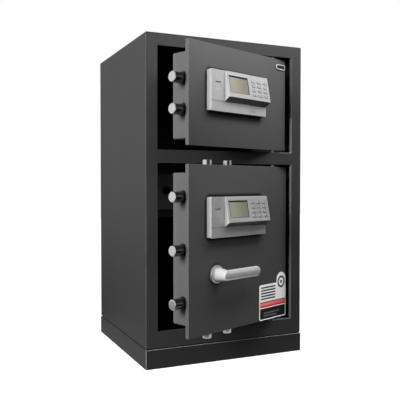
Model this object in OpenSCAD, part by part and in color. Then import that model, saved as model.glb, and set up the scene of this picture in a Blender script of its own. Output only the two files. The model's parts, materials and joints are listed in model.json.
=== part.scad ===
// Two-compartment electronic safe with both doors ajar and the bolts thrown.
// Sub-parts are drawn with the cabinet's front face at y = 0, its left side at x = 0 and the
// doors shut. in_cabinet() then puts the origin at the centre of the base, and on_door() also
// swings what a door carries about the hinge line, to the angle at which the doors stand.

/* [Cabinet] */
// Width of the cabinet
body_w = 430; // [410:1:520]
// Depth of the cabinet
body_d = 415; // [380:1:520]
// Height of the cabinet, plinth included
body_h = 800; // [780:1:900]
// Height of the plinth
plinth_h = 49; // [40:1:80]
// Thickness of the cabinet's sheet steel
wall_t = 3; // [2.5:0.5:4]
// Radius of the folded edges of the casing
fold_r = 2.5; // [1.5:0.5:4]
// Distance that the plinth stands proud of the casing at the front and sides
plinth_proud = 1; // [0:0.5:3]
// Height of the groove between plinth and casing
groove_h = 2; // [1:0.5:4]
// Depth of the groove between plinth and casing
groove_d = 3; // [1:0.5:6]
// Thickness of the plinth's sheet steel
plinth_t = 2; // [1.5:0.5:3]
// Width of the plinth's flange under the casing
head_flange = 15; // [10:1:25]

/* [Openings] */
// Width of the frame beside the openings
stile_w = 30; // [28:1:40]
// Height of the frame below the lower opening
sill_h = 40; // [30:1:45]
// Height of the lower opening
lower_open_h = 403; // [395:1:420]
// Height of the rail between the openings
rail_h = 32; // [30:1:45]
// Height of the frame above the upper opening
head_h = 30; // [25:1:45]
// Depth of the lip round each opening, from the front face
lip_d = 9; // [7:0.5:10]
// Height of the partition above the lower opening
partition_rise = 20; // [15:1:24]
// Depth of the partition's front flange
partition_flange = 8; // [4:1:10]

/* [Doors] */
// Thickness of a door plate
door_t = 10; // [6:0.5:10]
// Gap above, below and at the free side of a shut door
door_gap = 5; // [3:0.5:7]
// Gap at the hinge side of the lower door
lower_hinge_gap = 4; // [4:0.5:9]
// Gap at the hinge side of the upper door
upper_hinge_gap = 10; // [7:0.5:12]
// Distance of the hinge line from the opening's right edge
hinge_inset = 50; // [45:1:56]
// Distance of the hinge line behind the front face
hinge_back = 10; // [9.5:0.5:12]
// Diameter of the hinge pins
hinge_pin_d = 10; // [8:0.5:12]
// Reach of a hinge pin into its block
hinge_pin_reach = 12; // [8:1:13]
// Angle at which both doors stand open
ajar = 21.5; // [0:0.5:60]

/* [Bolt boxes] */
// Distance of the box behind the door's free edge
box_inset = 5; // [4:0.5:10]
// Width of the box
box_w = 335; // [320:1:340]
// Depth of the box with its cover, behind the door plate
box_d = 45; // [42:1:50]
// Thickness of the box's sheet steel
box_t = 2; // [1.5:0.5:2.5]
// Width of the flange that the cover is screwed to
box_flange = 12; // [8:1:16]
// Depth of the rear cover
cover_d = 8; // [6:0.5:8]
// Distance of the box below the upper door's top
upper_box_top = 25; // [20:1:40]
// Distance of the box above the upper door's bottom
upper_box_bottom = 15; // [12:1:30]
// Distance of the box below the lower door's top
lower_box_top = 19; // [16:1:22]
// Distance of the box above the lower door's bottom
lower_box_bottom = 26; // [22:1:28]
// Corner radius of the box and its cover
box_corner_r = 4; // [3:0.5:8]

/* [Bolts] */
// Diameter of the bolts
bolt_d = 25; // [18:0.5:25]
// Distance of the bolt axes behind the front face
bolt_back = 23; // [22:0.5:23.5]
// Chamfer on a bolt's tip
bolt_chamfer = 1.5; // [0.5:0.25:3]
// Reach of a thrown side bolt beyond the door's free edge
side_reach = 29; // [20:1:29]
// Length of a side bolt
side_bolt_l = 70; // [65:1:74]
// Travel of the side bolts
side_stroke = 30; // [25:1:32]
// Reach of a thrown top bolt beyond the door's top
top_reach = 13.5; // [9:0.5:15]
// Length of a top bolt
top_bolt_l = 50; // [45:1:52]
// Travel of the top bolts
top_stroke = 18; // [14:1:20]
// Reach of a thrown bottom bolt beyond the door's bottom
bottom_reach = 14; // [12:1:20]
// Length of a bottom bolt
bottom_bolt_l = 48; // [46:1:54]
// Travel of the bottom bolts
bottom_stroke = 24; // [18:1:25]
// Height of the upper door's lower side bolt above the door's bottom
upper_bolt_low = 80; // [60:1:90]
// Spacing of the upper door's side bolts
upper_bolt_pitch = 70.5; // [60:0.5:90]
// Height of the lower door's lowest side bolt above the door's bottom
lower_bolt_low = 78.5; // [78:0.5:84]
// Spacing of the lower door's side bolts
lower_bolt_pitch = 120.3; // [112:0.1:120.5]
// Distance of the first upright bolt from the door's free edge
upright_first = 82; // [80:1:90]
// Spacing of the upright bolts
upright_pitch = 70; // [60:1:90]

/* [Boltwork] */
// Distance of the handle's axis from the door's free edge
handle_in = 90; // [88:1:95]
// Height of the handle's axis above the lower door's bottom
handle_up = 138; // [132:1:142]
// Diameter of the spindle
spindle_d = 14; // [10:0.5:16]
// Turn of the handle from thrown to drawn, in degrees
handle_turn = 90; // [70:1:100]
// Thickness of the spiral cam
cam_t = 3.5; // [3:0.25:4]
// Diameter of the followers in the cam's slots
follower_d = 8; // [6:0.5:9]
// Distance of the side follower from the spindle with the bolts thrown
side_follower_r = 55; // [52:1:58]
// Distance of the top follower from the spindle with the bolts thrown
top_follower_r = 52; // [48:1:55]
// Distance of the bottom follower from the spindle with the bolts thrown
bottom_follower_r = 54; // [50:1:57]
// Thickness of the bolt bars
bar_t = 3; // [2:0.25:3]
// Width of the straps between bars and cam
strap_w = 16; // [12:1:18]

/* [Lever] */
// Diameter of the rosette
rosette_d = 43; // [38:1:50]
// Thickness of the rosette
rosette_t = 7; // [5:0.5:9]
// Diameter of the lever's neck at the rosette
neck_d = 35; // [30:1:36]
// Distance of the lever's face in front of the door
lever_out = 42; // [38:1:50]
// Length of the lever from the spindle's axis to its end
lever_l = 116; // [100:1:124]
// Height of the lever's bar
lever_h = 24.5; // [20:0.5:26]
// Thickness of the lever's bar
lever_t = 13; // [11:0.5:14]
// Rounding of the bar's long edges
lever_edge_r = 5; // [2:0.5:5]
// Rounding of the bar's end, seen from the front
lever_end_r = 11.5; // [4:0.5:12]
// Radius of the lever's crowned face
lever_crown_r = 22; // [18:1:40]
// Radius where the neck bends into the bar
lever_bend_r = 9; // [6:0.5:10]

/* [Electronic locks] */
// Width of a lock's housing
pad_w = 197.5; // [195:0.5:200]
// Height of a lock's housing
pad_h = 95; // [92:0.5:98]
// Distance of the housing from the door's free edge
pad_in = 58.5; // [50:0.5:65]
// Height of the upper housing above the upper door's bottom
upper_pad_up = 80.5; // [60:0.5:110]
// Height of the lower housing above the lower door's bottom
lower_pad_up = 223.5; // [215:0.5:260]
// Depth of the housing in front of the door
pad_d = 15; // [14:0.5:18]
// Corner radius of the housing
pad_corner_r = 3; // [1:0.5:5]
// Width of the seams between the housing's parts
seam_w = 0.8; // [0.4:0.1:1.2]
// Height of the lower strip, which holds the keyhole cover
strip_h = 24; // [22:0.5:26]
// Width of the bezel, at the housing's right end
bezel_w = 153; // [151:0.5:155]
// Depth of the bezel at its top
bezel_top_d = 3; // [3:0.25:4]
// Depth of the bezel at the lower edge of its face
bezel_low_d = 15; // [12:0.5:18]
// Height of the bezel's underside at its face, above the strip
bezel_lip = 10.5; // [8:0.5:13]
// Width of the display
lcd_w = 69; // [60:0.5:72]
// Height of the display, along the sloping face
lcd_h = 41.5; // [36:0.5:43]
// Distance of the display from the bezel's left end
lcd_in = 7.5; // [5:0.5:9]
// Distance of the display from the top of the face
lcd_down = 9.5; // [8:0.5:11]
// Depth of the display's pane below the face
lcd_sink = 1; // [0.5:0.1:1.2]
// Thickness of the display's pane
lcd_t = 1.5; // [1:0.1:1.6]
// Width of a key
key_w = 15.5; // [12:0.5:17]
// Height of a key
key_h = 7.8; // [6:0.2:8.4]
// Distance of the first key's centre from the bezel's left end
key_in = 95; // [94:0.5:97]
// Distance of the first key's centre from the top of the face
key_down = 14.6; // [13:0.2:16]
// Spacing of the keys along a row
key_pitch_x = 21.8; // [20:0.1:22]
// Spacing of the rows of keys
key_pitch_z = 11.3; // [10.5:0.1:11.5]
// Height of a key above the bezel's face
key_proud = 1.5; // [1:0.1:2]
// Travel of a key
key_travel = 1; // [0.5:0.1:1.2]
// Width of the sliding cover of the keyhole
key_cover_w = 60; // [56:0.5:64]

/* [Inner locker] */
// Distance of the locker's front behind the cabinet's front face
locker_back = 175; // [172:1:200]
// Height of the locker, from its shelf's underside to the partition
locker_h = 160; // [150:1:190]
// Thickness of the locker's sheet steel
locker_t = 2; // [1.5:0.5:2.5]
// Height of the rail below the locker's flap
locker_sill = 19; // [17:0.5:24]
// Height of the flap's opening
locker_open_h = 99; // [96:1:104]
// Width of the stiles beside the flap
locker_stile = 21; // [18:1:30]
// Thickness of the flap
flap_t = 10; // [9:0.5:12]
// Diameter of the flap's hinge pins
flap_pin_d = 5; // [4:0.5:6]
// Distance of the knob's axis from the flap's left edge
knob_in = 92; // [40:1:300]
// Height of the knob's axis above the flap's hinge line
knob_up = 48; // [46:1:52]
// Diameter of the knob
knob_d = 22; // [18:1:28]
// Reach of the knob in front of the flap
knob_out = 14; // [10:1:20]
// Diameter of the knob's spindle
knob_spindle_d = 8; // [6:0.5:10]
// Length of the tongue, from the spindle's axis
tongue_l = 54; // [53:1:56]

/* [Fixing holes] */
// Diameter of the anchor holes in the floor and the back
anchor_d = 12; // [8:0.5:14]
// Spacing of the floor's anchor holes from side to side
floor_anchor_x = 280; // [200:5:320]
// Spacing of the floor's anchor holes from front to back
floor_anchor_y = 240; // [200:5:260]
// Spacing of the back's anchor holes
back_anchor_x = 250; // [200:5:300]
// Height of the back's anchor holes above the ground
back_anchor_z = 280; // [200:5:320]

/* [Hidden] */
$fn = 64;
eps = 0.01;
cut = 1;
play = 0.3;
run_fit = 0.05;
charcoal = "#45464a";
plate_grey = "#55565a";
box_grey = "#6f7073";
chrome = "#d9dadc";
zinc = "#a9abad";
silver = "#b9babd";
nickel = "#b4b2ae";
glass_tan = "#a29f86";
key_grey = "#c9cacc";
dark_sheet = "#2c2d30";

// Openings, from the ground up
lower_z0 = plinth_h + sill_h;
lower_z1 = lower_z0 + lower_open_h;
upper_z0 = lower_z1 + rail_h;
upper_z1 = body_h - head_h;
open_x0 = stile_w;
open_x1 = body_w - stile_w;
partition_z = lower_z1 + partition_rise;
inner_y1 = body_d - wall_t;

// Doors, shut
door_x0 = open_x0 + door_gap;
upper_door_x1 = open_x1 - upper_hinge_gap;
lower_door_x1 = open_x1 - lower_hinge_gap;
upper_door_z0 = upper_z0 + door_gap;
upper_door_z1 = upper_z1 - door_gap;
lower_door_z0 = lower_z0 + door_gap;
lower_door_z1 = lower_z1 - door_gap;
hinge_x = open_x1 - hinge_inset;
hinge_y = hinge_back;
hinge_pin_r = hinge_pin_d / 2;
hinge_block_w = 30;
hinge_block_wall = 4;
hinge_block_d = hinge_back + hinge_pin_r + hinge_block_wall - wall_t;
hinge_pin_out = door_gap + hinge_pin_reach;
hinge_lug_w = 28;
hinge_lug_d = 16;

// Bolt boxes
box_x0 = door_x0 + box_inset;
box_x1 = box_x0 + box_w;
box_y0 = door_t;
box_y1 = door_t + box_d;
cover_y0 = box_y1 - cover_d;
upper_box_z0 = upper_door_z0 + upper_box_bottom;
upper_box_z1 = upper_door_z1 - upper_box_top;
lower_box_z0 = lower_door_z0 + lower_box_bottom;
lower_box_z1 = lower_door_z1 - lower_box_top;

// Bolts
bolt_r = bolt_d / 2;
bush_wall = 3;
bush_l = 5;
comb_in = 23;
comb_rise = 8;
side_tip_x = door_x0 - side_reach;
side_end_x = side_tip_x + side_bolt_l;
upper_bolt_z = [for (i = [0:1]) upper_door_z0 + upper_bolt_low + i * upper_bolt_pitch];
lower_bolt_z = [for (i = [0:2]) lower_door_z0 + lower_bolt_low + i * lower_bolt_pitch];
upright_x = [for (i = [0:1]) door_x0 + upright_first + i * upright_pitch];
top_tip_z = lower_door_z1 + top_reach;
bottom_tip_z = lower_door_z0 - bottom_reach;

// Rod and actuator that draw the upper bolts
pull_r = 4;
pull_z = (upper_bolt_z[0] + upper_bolt_z[1]) / 2;
actuator_gap = 0.8 * bolt_d;
pull_travel = side_stroke + bolt_d;
actuator_x0 = side_end_x + bar_t + side_stroke + actuator_gap;
pull_end_x = actuator_x0 + pull_travel;

// Boltwork, in layers behind the bolts: straps, then the cam
handle_x = door_x0 + handle_in;
handle_z = lower_door_z0 + handle_up;
spindle_r = spindle_d / 2;
follower_r = follower_d / 2;
bolt_rear_y = bolt_back + bolt_r;
strap_y0 = bolt_rear_y + 0.5;
strap_y1 = strap_y0 + bar_t;
cam_y0 = strap_y1 + 1.5;
cam_y1 = cam_y0 + cam_t;
follower_y1 = cam_y1 + 1.2;
cam_r = max(side_follower_r, top_follower_r, bottom_follower_r) + follower_r + 3;
web_y0 = door_t + 3;
bar_margin = 12;
slot_steps = 24;

// Lever
neck_r = neck_d / 2;
lever_half = lever_h / 2;
lever_socket = 14;
collar_t = 12;

// Electronic locks
pad_x0 = door_x0 + pad_in;
pad_x1 = pad_x0 + pad_w;
upper_pad_z0 = upper_door_z0 + upper_pad_up;
lower_pad_z0 = lower_door_z0 + lower_pad_up;
bezel_x0 = pad_x1 - bezel_w;
face_drop = pad_h - strip_h - bezel_lip;
face_tilt = atan((bezel_low_d - bezel_top_d) / face_drop);
pad_floor = 4;
key_rows = 4;
key_cols = 3;
key_count = key_rows * key_cols;
key_stem = 2.8;
key_pocket = key_stem + key_travel + 0.5;
cover_x0 = pad_x1 - key_cover_w;
rail_z = strip_h - 6;
rail_neck_h = 4;
rail_head_h = 8;
rail_head_d = 1.5;
plate_left = 1;
rail_neck_d = pad_floor - plate_left - rail_head_d;
rail_l = 40;

// Inner locker
locker_z0 = partition_z - locker_h;
locker_open_z0 = locker_z0 + locker_sill;
locker_open_z1 = locker_open_z0 + locker_open_h;
locker_x0 = wall_t + locker_stile;
locker_x1 = body_w - wall_t - locker_stile;
flap_gap = 1;
flap_x0 = locker_x0 + flap_gap;
flap_x1 = locker_x1 - flap_gap;
flap_r = flap_t / 2;
flap_axis_y = locker_back + flap_r;
flap_axis_z = locker_open_z0 + flap_gap + flap_r;
flap_top_z = locker_open_z1 - flap_gap;
flap_skin = 1.5;
cheek_t = 4;
knob_x = flap_x0 + knob_in;
knob_z = flap_axis_z + knob_up;
tongue_t = 3;
tongue_w = 12;
tongue_y0 = locker_back + flap_t + 1;

FIXED_NODES = ["casing", "back_panel", "front_frame", "plinth", "partition", "hinge_blocks",
    "locker_case", "locker_flap", "locker_knob"];
UPPER_NODES = ["upper_door_plate", "upper_bolt_box", "upper_rear_cover", "upper_hinge_pins",
    "upper_side_bolts", "upper_actuator", "upper_lock_base", "upper_lock_bezel", "upper_display",
    "upper_keyhole_cover"];
LOWER_NODES = ["lower_door_plate", "lower_bolt_box", "lower_rear_cover", "lower_hinge_pins",
    "lower_side_bolts", "side_bolt_bar", "top_bolts", "top_bolt_bar", "bottom_bolts",
    "bottom_bolt_bar", "spiral_cam", "rosette", "lever", "lower_lock_base", "lower_lock_bezel",
    "lower_display", "lower_keyhole_cover"];
KEY_NODES = [for (pad = ["upper", "lower"], i = [1:key_count]) str(pad, "_key_", i)];

// Places a sub-part of the cabinet: the origin goes to the centre of the base
module in_cabinet() {
    translate([-body_w / 2, -body_d / 2, 0])
        children();
}

// Places a sub-part of a door: swings it about the hinge line to the resting angle
module on_door() {
    in_cabinet()
        translate([hinge_x, hinge_y, 0])
            rotate([0, 0, ajar])
                translate([-hinge_x, -hinge_y, 0])
                    children();
}

// Turns x-z drawings upright: what is extruded grows from y = y0 towards the back
module upright(y0, depth) {
    translate([0, y0 + depth, 0])
        rotate([90, 0, 0])
            linear_extrude(depth)
                children();
}

// Rectangle with round corners between two opposite corners
module round_rect(x0, z0, x1, z1, r) {
    translate([x0 + r, z0])
        square([x1 - x0 - 2 * r, z1 - z0]);
    translate([x0, z0 + r])
        square([x1 - x0, z1 - z0 - 2 * r]);
    for (x = [x0 + r, x1 - r], z = [z0 + r, z1 - r])
        translate([x, z])
            circle(r);
}

// Box between two opposite corners
module block(low, high) {
    translate(low)
        cube(high - low);
}

// Cylinder along y, from y0 to y1
module rod_y(x, z, y0, y1, r) {
    translate([x, y1, z])
        rotate([90, 0, 0])
            cylinder(h = y1 - y0, r = r);
}

// Cylinder along x, from x0 to x1
module rod_x(y, z, x0, x1, r) {
    translate([x0, y, z])
        rotate([0, 90, 0])
            cylinder(h = x1 - x0, r = r);
}

// Bolt pointing down the local z axis, with its chamfered tip at the origin
module bolt(length) {
    translate([0, 0, bolt_chamfer])
        cylinder(h = length - bolt_chamfer, r = bolt_r);
    cylinder(h = bolt_chamfer, r1 = bolt_r - bolt_chamfer, r2 = bolt_r);
}

// Folded tube with both sides, the top and the floor
module casing() {
    depth = inner_y1 - wall_t;
    color(charcoal)
        in_cabinet()
            difference() {
                upright(wall_t, depth)
                    round_rect(0, plinth_h, body_w, body_h, fold_r);
                upright(0, body_d)
                    block_outline(wall_t, plinth_h + wall_t, body_w - wall_t, body_h - wall_t);
                anchor_pattern(plinth_h - cut, wall_t + 2 * cut);
            }
}

// Plain rectangle between two opposite corners
module block_outline(x0, z0, x1, z1) {
    translate([x0, z0])
        square([x1 - x0, z1 - z0]);
}

// Four anchor holes through the floor
module anchor_pattern(z0, height) {
    for (sx = [-1, 1], sy = [-1, 1])
        translate([body_w / 2 + sx * floor_anchor_x / 2, body_d / 2 + sy * floor_anchor_y / 2, z0])
            cylinder(h = height, d = anchor_d);
}

// Rear sheet with two anchor holes
module back_panel() {
    color(charcoal)
        in_cabinet()
            difference() {
                upright(inner_y1, wall_t)
                    round_rect(0, plinth_h, body_w, body_h, fold_r);
                for (s = [-1, 1])
                    rod_y(body_w / 2 + s * back_anchor_x / 2, back_anchor_z,
                        inner_y1 - cut, body_d + cut, anchor_d / 2);
            }
}

// Flat frame with two openings, each with a lip that is cut away at the hinge blocks
module front_frame() {
    openings = [[lower_z0, lower_z1], [upper_z0, upper_z1]];
    color(charcoal)
        in_cabinet()
            difference() {
                union() {
                    upright(0, wall_t)
                        round_rect(0, plinth_h, body_w, body_h, fold_r);
                    for (o = openings)
                        upright(0, lip_d)
                            block_outline(open_x0 - wall_t, o[0] - wall_t,
                                open_x1 + wall_t, o[1] + wall_t);
                }
                for (o = openings)
                    upright(-cut, lip_d + 2 * cut)
                        block_outline(open_x0, o[0], open_x1, o[1]);
                block([hinge_x - hinge_block_w / 2, wall_t, lower_z0 - 2 * wall_t],
                    [hinge_x + hinge_block_w / 2, lip_d + cut, upper_z1 + 2 * wall_t]);
            }
}

// Folded pan under the casing, proud of it below a groove, with a flange round its mouth and holes
// for the floor anchors
module plinth() {
    shoulder_z = plinth_h - groove_h;
    inner = plinth_t - plinth_proud;
    mouth = groove_d + head_flange;
    color(charcoal)
        in_cabinet()
            difference() {
                union() {
                    block([-plinth_proud, -plinth_proud, 0],
                        [body_w + plinth_proud, body_d, shoulder_z]);
                    block([groove_d, groove_d, shoulder_z - cut],
                        [body_w - groove_d, body_d - groove_d, plinth_h]);
                }
                block([inner, inner, plinth_t],
                    [body_w - inner, body_d - plinth_t, shoulder_z - plinth_t]);
                block([mouth, mouth, plinth_t],
                    [body_w - mouth, body_d - mouth, plinth_h + cut]);
                anchor_pattern(-cut, plinth_t + 2 * cut);
            }
}

// Shelf between the compartments, with a flange down behind the rail and one up at the back
module partition() {
    flange_h = 12;
    color(dark_sheet)
        in_cabinet()
            difference() {
                union() {
                    block([wall_t, wall_t, partition_z],
                        [body_w - wall_t, inner_y1, partition_z + wall_t]);
                    block([wall_t, wall_t, partition_z - partition_flange],
                        [body_w - wall_t, 2 * wall_t, partition_z + eps]);
                    block([wall_t, inner_y1 - wall_t, partition_z],
                        [body_w - wall_t, inner_y1, partition_z + flange_h]);
                }
                block([hinge_x - hinge_block_w / 2, 0, lower_z1],
                    [hinge_x + hinge_block_w / 2, wall_t + hinge_block_d, upper_z0]);
            }
}

// Hinge block between two heights, bored from its low face, its high face or both
module hinge_block(z0, z1, bore_low, bore_high) {
    depth = hinge_pin_reach + play;
    difference() {
        block([hinge_x - hinge_block_w / 2, wall_t, z0],
            [hinge_x + hinge_block_w / 2, wall_t + hinge_block_d, z1]);
        if (bore_low)
            translate([hinge_x, hinge_y, z0 - cut])
                cylinder(h = depth + cut, r = hinge_pin_r + run_fit);
        if (bore_high)
            translate([hinge_x, hinge_y, z1 - depth])
                cylinder(h = depth + cut, r = hinge_pin_r + run_fit);
    }
}

// Three steel blocks behind the frame that take the doors' pins
module hinge_blocks() {
    thick = hinge_pin_reach + play + 2;
    color(zinc)
        in_cabinet() {
            hinge_block(lower_z0 - thick, lower_z0, false, true);
            hinge_block(lower_z1, upper_z0, true, true);
            hinge_block(upper_z1, upper_z1 + thick, true, false);
        }
}

// Shelf, front frame, keeper lip and hinge cheeks of the inner locker
module locker_case() {
    keeper_y1 = tongue_y0 - play;
    color(dark_sheet)
        in_cabinet()
            difference() {
                union() {
                    block([wall_t, locker_back, locker_z0],
                        [body_w - wall_t, inner_y1, locker_z0 + locker_t]);
                    block([wall_t, locker_back, locker_z0],
                        [body_w - wall_t, locker_back + locker_t, partition_z]);
                    block([locker_x0, locker_back, locker_open_z1],
                        [locker_x1, keeper_y1, locker_open_z1 + locker_t]);
                    locker_cheek(locker_x0 - cheek_t);
                    locker_cheek(locker_x1);
                }
                block([locker_x0, locker_back - cut, locker_open_z0],
                    [locker_x1, locker_back + locker_t + cut, locker_open_z1]);
                for (x = [locker_x0 - cheek_t, locker_x1])
                    rod_x(flap_axis_y, flap_axis_z, x - cut, x + cheek_t + cut,
                        flap_pin_d / 2 + run_fit);
            }
}

// Ear that holds one of the flap's pins
module locker_cheek(x) {
    rod_x(flap_axis_y, flap_axis_z, x, x + cheek_t, flap_r);
    block([x, locker_back + locker_t / 2, flap_axis_z - flap_r],
        [x + cheek_t, flap_axis_y, flap_axis_z + flap_r]);
}

// Drop-down flap: folded pan with a rolled lower edge, end pins and a boss for the knob
module locker_flap() {
    back_y = locker_back + flap_t;
    pin_l = cheek_t + flap_gap;
    boss_wall = 8;
    color(box_grey)
        in_cabinet()
            difference() {
                union() {
                    block([flap_x0, locker_back, flap_axis_z], [flap_x1, back_y, flap_top_z]);
                    rod_x(flap_axis_y, flap_axis_z, flap_x0, flap_x1, flap_r);
                    rod_x(flap_axis_y, flap_axis_z, flap_x0 - pin_l, flap_x1 + pin_l,
                        flap_pin_d / 2);
                }
                difference() {
                    block([flap_x0 + flap_skin, locker_back + flap_skin, flap_axis_z + flap_r],
                        [flap_x1 - flap_skin, back_y + cut, flap_top_z - flap_skin]);
                    rod_y(knob_x, knob_z, locker_back, back_y, knob_spindle_d / 2 + boss_wall);
                }
                rod_y(knob_x, knob_z, locker_back - cut, back_y + cut,
                    knob_spindle_d / 2 + run_fit);
            }
}

// Turn knob with its spindle and the tongue that locks the flap
module locker_knob() {
    grip_w = 5;
    tongue_root_w = tongue_w + 4;
    spindle_end = 2;
    front_y = locker_back - play;
    color(zinc)
        in_cabinet() {
            rod_y(knob_x, knob_z, front_y - knob_out / 2, front_y, knob_d / 2);
            intersection() {
                rod_y(knob_x, knob_z, front_y - knob_out, front_y - knob_out / 2 + eps,
                    knob_d / 2);
                block([knob_x - knob_d, 0, knob_z - grip_w / 2],
                    [knob_x + knob_d, locker_back, knob_z + grip_w / 2]);
            }
            rod_y(knob_x, knob_z, front_y - eps, tongue_y0 + tongue_t + spindle_end,
                knob_spindle_d / 2);
            upright(tongue_y0, tongue_t) {
                translate([knob_x, knob_z])
                    circle(d = tongue_root_w);
                block_outline(knob_x, knob_z - tongue_w / 2,
                    knob_x + tongue_l - tongue_w / 2, knob_z + tongue_w / 2);
                translate([knob_x + tongue_l - tongue_w / 2, knob_z])
                    circle(d = tongue_w);
            }
        }
}

// Door plate, hollowed at the back for the pins below and above the bolt box
module door_plate(x1, z0, box_z0, box_z1, z1) {
    edge_r = 1;
    difference() {
        upright(0, door_t)
            round_rect(door_x0, z0, x1, z1, edge_r);
        translate([hinge_x, hinge_y, z0 - cut])
            cylinder(h = box_z0 - z0 + cut, r = hinge_pin_r);
        translate([hinge_x, hinge_y, box_z1])
            cylinder(h = z1 - box_z1 + cut, r = hinge_pin_r);
    }
}

module upper_door_plate() {
    color(plate_grey)
        on_door()
            door_plate(upper_door_x1, upper_door_z0, upper_box_z0, upper_box_z1, upper_door_z1);
}

// The lower plate is also bored for the handle's spindle
module lower_door_plate() {
    color(plate_grey)
        on_door()
            difference() {
                door_plate(lower_door_x1, lower_door_z0, lower_box_z0, lower_box_z1,
                    lower_door_z1);
                rod_y(handle_x, handle_z, -cut, door_t + cut, spindle_r + run_fit);
            }
}

// Two lugs behind the plate that fill the space to the box, each with a pin
module hinge_pins(z0, box_z0, box_z1, z1) {
    for (span = [[z0, box_z0], [box_z1, z1]])
        block([hinge_x - hinge_lug_w / 2, door_t, span[0]],
            [hinge_x + hinge_lug_w / 2, door_t + hinge_lug_d, span[1]]);
    for (span = [[z0 - hinge_pin_out, box_z0], [box_z1, z1 + hinge_pin_out]])
        translate([hinge_x, hinge_y, span[0]])
            cylinder(h = span[1] - span[0], r = hinge_pin_r);
}

module upper_hinge_pins() {
    color(zinc)
        on_door()
            hinge_pins(upper_door_z0, upper_box_z0, upper_box_z1, upper_door_z1);
}

module lower_hinge_pins() {
    color(zinc)
        on_door()
            hinge_pins(lower_door_z0, lower_box_z0, lower_box_z1, lower_door_z1);
}

// Open bolt box: four walls, a flange for the cover, bushes and a comb to guide the side bolts
module bolt_box(z0, z1, side_z, upright_at) {
    bore_r = bolt_r + play;
    bush_r = bore_r + bush_wall;
    comb_x = box_x0 + comb_in;
    side_x1 = box_x0 + box_t + bush_l;
    difference() {
        union() {
            difference() {
                upright(box_y0, cover_y0 - box_y0)
                    round_rect(box_x0, z0, box_x1, z1, box_corner_r);
                upright(box_y0 - cut, cover_y0 - box_y0 - box_t + cut)
                    block_outline(box_x0 + box_t, z0 + box_t, box_x1 - box_t, z1 - box_t);
                upright(box_y0, box_d)
                    block_outline(box_x0 + box_flange, z0 + box_flange,
                        box_x1 - box_flange, z1 - box_flange);
            }
            intersection() {
                union() {
                    for (z = side_z)
                        rod_x(bolt_back, z, box_x0 + box_t / 2, side_x1, bush_r);
                    for (x = upright_at, z = [z0 + box_t / 2, z1 - box_t - bush_l])
                        translate([x, bolt_back, z])
                            cylinder(h = box_t / 2 + bush_l, r = bush_r);
                }
                block([box_x0, box_y0, z0], [box_x1, cover_y0, z1]);
            }
            block([comb_x, box_y0, z0 + box_t / 2],
                [comb_x + box_t, bolt_back + comb_rise, z1 - box_t / 2]);
        }
        for (z = side_z)
            rod_x(bolt_back, z, box_x0 - cut, comb_x + box_t + cut, bore_r);
        for (x = upright_at, z = [z0 - cut, z1 - box_t - bush_l - cut])
            translate([x, bolt_back, z])
                cylinder(h = box_t + bush_l + 2 * cut, r = bore_r);
    }
}

module upper_bolt_box() {
    color(box_grey)
        on_door()
            bolt_box(upper_box_z0, upper_box_z1, upper_bolt_z, []);
}

module lower_bolt_box() {
    color(box_grey)
        on_door()
            bolt_box(lower_box_z0, lower_box_z1, lower_bolt_z, upright_x);
}

// Shallow tray that closes the bolt box
module rear_cover(z0, z1) {
    difference() {
        upright(cover_y0, cover_d)
            round_rect(box_x0, z0, box_x1, z1, box_corner_r);
        upright(cover_y0 - cut, cover_d - box_t + cut)
            block_outline(box_x0 + box_t, z0 + box_t, box_x1 - box_t, z1 - box_t);
    }
}

module upper_rear_cover() {
    color(box_grey)
        on_door()
            rear_cover(upper_box_z0, upper_box_z1);
}

module lower_rear_cover() {
    color(box_grey)
        on_door()
            rear_cover(lower_box_z0, lower_box_z1);
}

// Side bolt with its tip to the left
module side_bolt(z) {
    translate([side_tip_x, bolt_back, z])
        rotate([0, 90, 0])
            bolt(side_bolt_l);
}

// Both upper bolts on one bar, with the rod that the actuator pulls
module upper_side_bolts() {
    color(chrome)
        on_door() {
            for (z = upper_bolt_z)
                side_bolt(z);
            block([side_end_x - eps, web_y0, upper_bolt_z[0] - bar_margin],
                [side_end_x + bar_t, strap_y1, upper_bolt_z[1] + bar_margin]);
            rod_x(bolt_back, pull_z, side_end_x, pull_end_x, pull_r);
        }
}

// Linear actuator: gear head with the rod's bore, motor beside it and two fixing ears
module upper_actuator() {
    head_l = pull_end_x + side_stroke + 10 - actuator_x0;
    head_h = 26;
    head_z0 = pull_z - head_h / 2;
    head_z1 = pull_z + head_h / 2;
    head_y1 = bolt_back + 10;
    motor_r = 12;
    motor_l = 58;
    motor_in = 18;
    ear_l = 10;
    ear_t = 3;
    ear_hole_r = 2.2;
    x0 = actuator_x0;
    x1 = x0 + head_l;
    color(zinc)
        on_door()
            difference() {
                union() {
                    block([x0, box_y0, head_z0], [x1, head_y1, head_z1]);
                    rod_x(box_y0 + motor_r + eps, head_z0 - motor_r * 0.8,
                        x0 + motor_in, x0 + motor_in + motor_l, motor_r);
                    block([x0 - ear_l, box_y0, head_z0], [x1 + ear_l, box_y0 + ear_t, head_z1]);
                }
                rod_x(bolt_back, pull_z, x0 - cut, x1 - ear_l / 2, pull_r + run_fit);
                for (x = [x0 - ear_l / 2, x1 + ear_l / 2])
                    rod_y(x, pull_z, box_y0 - cut, box_y0 + ear_t + cut, ear_hole_r);
            }
}

module lower_side_bolts() {
    color(chrome)
        on_door()
            for (z = lower_bolt_z)
                side_bolt(z);
}

// Angle bar behind the side bolts, with the follower that rides in the cam
module side_bolt_bar() {
    follower_x = handle_x - side_follower_r;
    color(zinc)
        on_door() {
            block([side_end_x, web_y0, lower_bolt_z[0] - bar_margin],
                [side_end_x + bar_t, strap_y1, lower_bolt_z[2] + bar_margin]);
            upright(strap_y0, bar_t) {
                block_outline(follower_x, handle_z - strap_w / 2,
                    side_end_x + eps, handle_z + strap_w / 2);
                translate([follower_x, handle_z])
                    circle(d = strap_w);
            }
            rod_y(follower_x, handle_z, strap_y1 - eps, follower_y1, follower_r);
        }
}

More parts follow.
